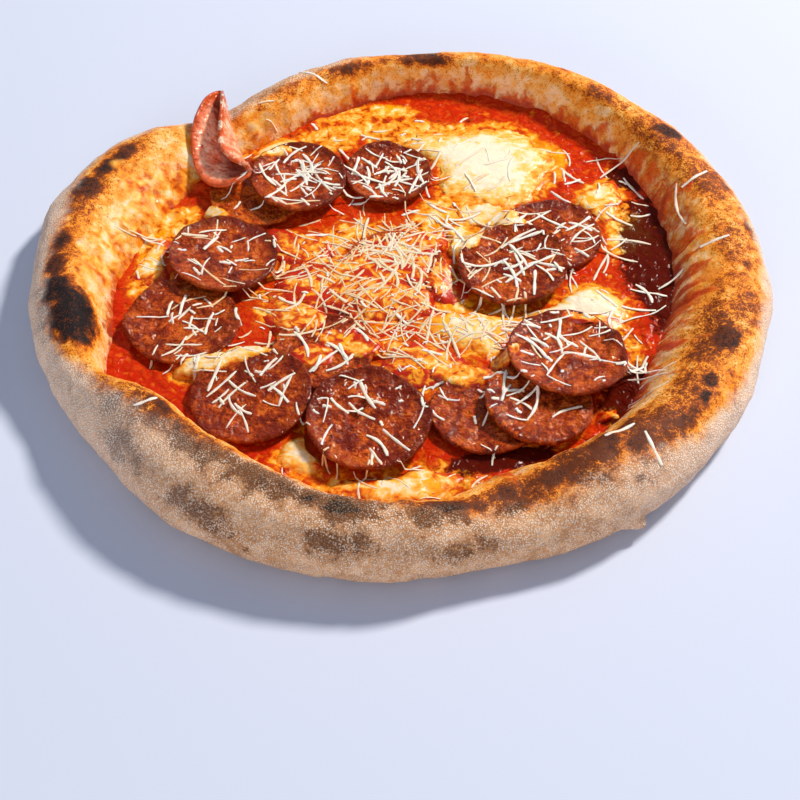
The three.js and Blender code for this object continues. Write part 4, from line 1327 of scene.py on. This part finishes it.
# The finer strands: middle, spread both ways, number, length from and to, and how melted
SHOWERS = [
    (-20, 18, 42, 26, 140, 6, 23, 0.75), (4, -10, 44, 21, 84, 6, 23, 0.65),
    (18, 44, 30, 17, 56, 5, 20, 0.6), (-46, 74, 18, 15, 56, 3, 17, 0.1),
    (-4, 80, 15, 14, 35, 3, 16, 0.1), (68, -26, 20, 15, 29, 4, 19, 0.05),
    (54, 24, 21, 18, 20, 4, 18, 0.1), (94, 50, 24, 34, 38, 7, 24, 0.25),
    (-78, 24, 18, 15, 24, 2, 13, 0.05), (-92, -14, 19, 15, 20, 3, 16, 0.1),
    (-62, -52, 21, 17, 18, 3, 18, 0.05), (-8, -72, 21, 17, 20, 3, 17, 0.05),
    (46, -62, 21, 15, 21, 3, 16, 0.1), (40, 92, 30, 20, 14, 5, 20, 0.3),
    (104, -30, 12, 32, 24, 6, 18, 0.1), (-84, -36, 18, 8, 12, 5, 18, 0.3),
    (0, 0, 70, 60, 120, 1.2, 4.5, 0.1), (-106, 30, 12, 18, 16, 4, 14, 0.5),
    (-10, -98, 36, 8, 20, 4, 14, 0.5), (-10, 112, 40, 8, 14, 3, 10, 0.4),
]
# Where they melted most: middle, half length, half width and turn
HOT_PLACES = [
    (-16, 14, 50, 34, 10), (8, -40, 40, 12, -6), (40, 80, 40, 24, -12), (36, -14, 24, 14, -10),
]


def random_source(seed):
    """Seeded random numbers between 0 and 1."""
    state = seed
    while True:
        state = (state * 1664525 + 1013904223) % 4294967296
        yield state / 4294967296


def bell(random, draws):
    """A random number about 0, more often near it the more draws it is the sum of."""
    return sum(next(random) for _ in range(draws)) - draws / 2


def uppermost(x, y):
    """The name of the piece that lies uppermost at a place."""
    for index in range(len(SLICES) - 1, -1, -1):
        slice_x, slice_y, radius = SLICES[index, :3]
        if math.hypot(x - slice_x, y - slice_y) < radius:
            return f"salami_{index + 1}"
    for name, patch in CHEESES.items():
        if math.hypot(x - patch[0], y - patch[1]) < patch[2] * 1.3 and cheese_level(name, x, y):
            return name
    foot = rim_at(math.degrees(math.atan2(y, x)))[2][0]
    return "crust" if math.hypot(x, y) > foot - 2.5 else "sauce"


def near_fold(x, y):
    """Whether a place is close to the folded slice, seen from above."""
    start, end = FOLD_FOOT[:2], FOLD_HEAD[:2]
    step = end - start
    along = min(max(float(np.dot((x, y) - start, step) / np.dot(step, step)), 0), 1)
    return math.hypot(*((x, y) - start - along * step)) < FOLD_CLEAR


def strand_line(x, y, turn, length, kink):
    """The two ends and the middle of a strand that is bent a little both ways from its turn."""
    before = math.radians(turn - kink)
    after = math.radians(turn + kink)
    half = length / 2
    start = (x - half * math.cos(before), y - half * math.sin(before))
    return [start, (x, y), (x + half * math.cos(after), y + half * math.sin(after))]


def lies_on_one(line, host):
    """Whether a strand lies on one piece with its whole length, clear of its edge."""
    margin = STRAND_WIDTH / 2 + EDGE_CLEAR
    around = [(0, 0), (margin, 0), (-margin, 0), (0, margin), (0, -margin)]
    return all(
        not near_fold(x, y) and all(uppermost(x + dx, y + dy) == host for dx, dy in around)
        for x, y in line
    )


def longest_strands():
    """The lines of those on the rim and of those strewn, the longest first."""
    random = random_source(SEED)
    lines = [strand_line(x, y, turn, length, 5) for x, y, turn, length in ON_RIM]
    laid = 0
    for _ in range(MOST_TRIES):
        if laid == STREWN:
            break
        pick = next(random)
        heap = HEAPS[0]
        for candidate in HEAPS:
            pick -= candidate[4]
            if pick < 0:
                heap = candidate
                break
        x = heap[0] + heap[2] * bell(random, 4) * 1.4
        y = heap[1] + heap[3] * bell(random, 4) * 1.4
        length = STREWN_LONGEST - (STREWN_LONGEST - STREWN_SHORTEST) * (laid / STREWN)
        line = strand_line(x, y, next(random) * 180, length, next(random) * 24 - 8)
        host = uppermost(x, y)
        if host != "crust" and lies_on_one(line, host):
            lines.append(line)
            laid += 1
    return lines


def drape(line, melt, thick, tilt, points, edges, marks):
    """Lays a strand along a bent line, on whatever is uppermost, and raises the levels there."""
    share = np.linspace(0, 1, STRAND_STEPS)[:, None]
    start, middle, end = (np.array(place) for place in line)
    path = (1 - share) ** 2 * start + 2 * share * (1 - share) * (2 * middle - (start + end) / 2)
    path = path + share**2 * end
    under = level_at(path[:, 0], path[:, 1], levels)
    chord = np.linspace(under[0], under[-1], STRAND_STEPS)
    stiff = np.maximum(under, chord * 0.5 + under * 0.5)
    stiff = np.convolve(np.pad(stiff, 1, mode="edge"), [0.25, 0.5, 0.25], "valid")
    stiff = np.maximum(stiff, under - 0.15)
    z = stiff * (1 - melt) + under * melt + STRAND_HEIGHT * thick * (0.5 - 0.5 * melt)
    base = len(points)
    points += [(x, y, height) for (x, y), height in zip(path, z)]
    edges += [(base + k, base + k + 1) for k in range(STRAND_STEPS - 1)]
    taper = np.minimum(1, 0.72 + 2.6 * np.minimum(share, 1 - share)[:, 0])
    taper = taper * (1 + 0.22 * np.sin(np.arange(STRAND_STEPS) * 1.7 + start[0] * 3))
    marks += [(melt, thick * narrow, tilt) for narrow in taper]
    for (x, y), height in zip(path, z):
        i = int(round((x - GRID_X[0]) / GRID))
        j = int(round((y - GRID_Y[0]) / GRID))
        if 0 < j < len(GRID_Y) - 1 and 0 < i < len(GRID_X) - 1:
            levels[j, i] = max(levels[j, i], height + 0.3 * thick * (1 - melt))


def strands():
    """Points, edges and marks (how melted, how thick, how tilted) of all strands."""
    points, edges, marks = [], [], []
    for line in longest_strands():
        hot = float(smooth(in_places(*np.array(line[1]), HOT_PLACES), 0.0, 0.5))
        drape(line, 0.6 * hot, 1.0, 0.0, points, edges, marks)
    random = random_source(SEED + 1)
    for x, y, spread_x, spread_y, number, shortest, longest, melt in SHOWERS:
        for _ in range(number):
            at_x = x + spread_x * 1.3 * bell(random, 3)
            at_y = y + spread_y * 1.3 * bell(random, 3)
            length = shortest + (longest - shortest) * next(random) ** 1.1
            line = strand_line(at_x, at_y, next(random) * 360, length, next(random) * 26 - 12)
            melted = min(max(melt + next(random) * 0.4 - 0.2, 0), 1)
            thick = (0.45 + 0.6 * next(random)) * (1 - 0.25 * melted)
            tilt = (next(random) - 0.5) * 1.0 * (1 - melted)
            drape(line, melted, thick, tilt, points, edges, marks)
    return points, edges, np.array(marks)


FRESH_SHADED = (0.95, 0.76, 0.62)
FRESH_WHITE = (0.97, 0.85, 0.76)
MELTED_ORANGE = (0.95, 0.48, 0.18)
MELTED_CREAM = (0.96, 0.72, 0.50)


def strand_paint():
    """Fresh strands are white, melted ones tinted by the fat and sauce that they lie in."""
    paint = Paint(
        "grated_cheese", Specular_IOR_Level=0.3, Subsurface_Weight=0.3, Subsurface_Scale=1.2 * MM
    )
    (melt,) = paint.marks("melt")
    middle = paint.noise(2.6, 3, 0.6)
    fine = paint.noise(0.7, 3, 0.6)
    fresh = middle.step(0.3, 0.7).shade(FRESH_SHADED, FRESH_WHITE)
    melted = (middle + (fine - 0.5) * 0.4).step(0.35, 0.65).shade(MELTED_ORANGE, MELTED_CREAM)
    colour = (melt + (middle - 0.5) * 0.9).step(0.12, 0.8).shade(fresh, melted)
    normal = paint.bump((fine, 0.25))
    return paint.fill(Base_Color=colour, Roughness=0.32 + fine * 0.2, Normal=normal)


def strand_tree(material):
    """Gives every line of the mesh the body of a flat strand, as wide as its mark says."""
    tree = bpy.data.node_groups.new("grated_strands", "GeometryNodeTree")
    tree.interface.new_socket("Geometry", in_out="INPUT", socket_type="NodeSocketGeometry")
    width = tree.interface.new_socket("Width", in_out="INPUT", socket_type="NodeSocketFloat")
    flatness = tree.interface.new_socket("Flatness", in_out="INPUT", socket_type="NodeSocketFloat")
    tree.interface.new_socket("Geometry", in_out="OUTPUT", socket_type="NodeSocketGeometry")
    inputs = Value(tree, tree.nodes.new("NodeGroupInput").outputs[0])
    source = inputs.socket.node
    thick = inputs.node("GeometryNodeInputNamedAttribute", {"Name": "thick"}, data_type="FLOAT")
    tilt = inputs.node("GeometryNodeInputNamedAttribute", {"Name": "tilt"}, data_type="FLOAT")
    curves = inputs.node("GeometryNodeMeshToCurve", {"Mesh": inputs})
    curves = inputs.node("GeometryNodeSetCurveNormal", {"Curve": curves}, mode="Z_UP")
    curves = inputs.node("GeometryNodeSetCurveTilt", {"Curve": curves, "Tilt": tilt})
    radius = Value(tree, source.outputs[1]) * 0.5
    section = inputs.node("GeometryNodeCurvePrimitiveCircle", {"Resolution": 6, "Radius": radius})
    ones = inputs.node("ShaderNodeCombineXYZ", {0: 1.0, 1: Value(tree, source.outputs[2]), 2: 1.0})
    section = inputs.node("GeometryNodeTransform", {"Geometry": section, "Scale": ones})
    body = inputs.node("GeometryNodeCurveToMesh", {
        "Curve": curves, "Profile Curve": section, "Fill Caps": True, "Scale": thick,
    })
    body = inputs.node("GeometryNodeRealizeInstances", {"Geometry": body})
    body = inputs.node("GeometryNodeSetMaterial", {"Geometry": body, "Material": material})
    out = tree.nodes.new("NodeGroupOutput")
    tree.links.new(body.socket, out.inputs[0])
    sizes = {width.identifier: STRAND_WIDTH * MM, flatness.identifier: STRAND_HEIGHT / STRAND_WIDTH}
    return tree, sizes


def grate(name, material):
    """All strands as one mesh: their lines get their bodies from the nodes."""
    points, edges, marks = strands()
    mesh = bpy.data.meshes.new(name)
    mesh.from_pydata((np.array(points) * MM).tolist(), edges, [])
    add_marks(mesh, dict(zip(("melt", "thick", "tilt"), marks.T)))
    lines = add_object(name, mesh)
    tree, sizes = strand_tree(material)
    modifier = lines.modifiers.new("strands", "NODES")
    modifier.node_group = tree
    for identifier, value in sizes.items():
        modifier[identifier] = value
    shaped = lines.evaluated_get(bpy.context.evaluated_depsgraph_get())
    solid = bpy.data.meshes.new_from_object(shaped)
    solid.polygons.foreach_set("use_smooth", [True] * len(solid.polygons))
    lines.modifiers.remove(modifier)
    lines.data = solid
    return lines


grated = grate("grated_cheese", strand_paint())
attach(grated, "root")
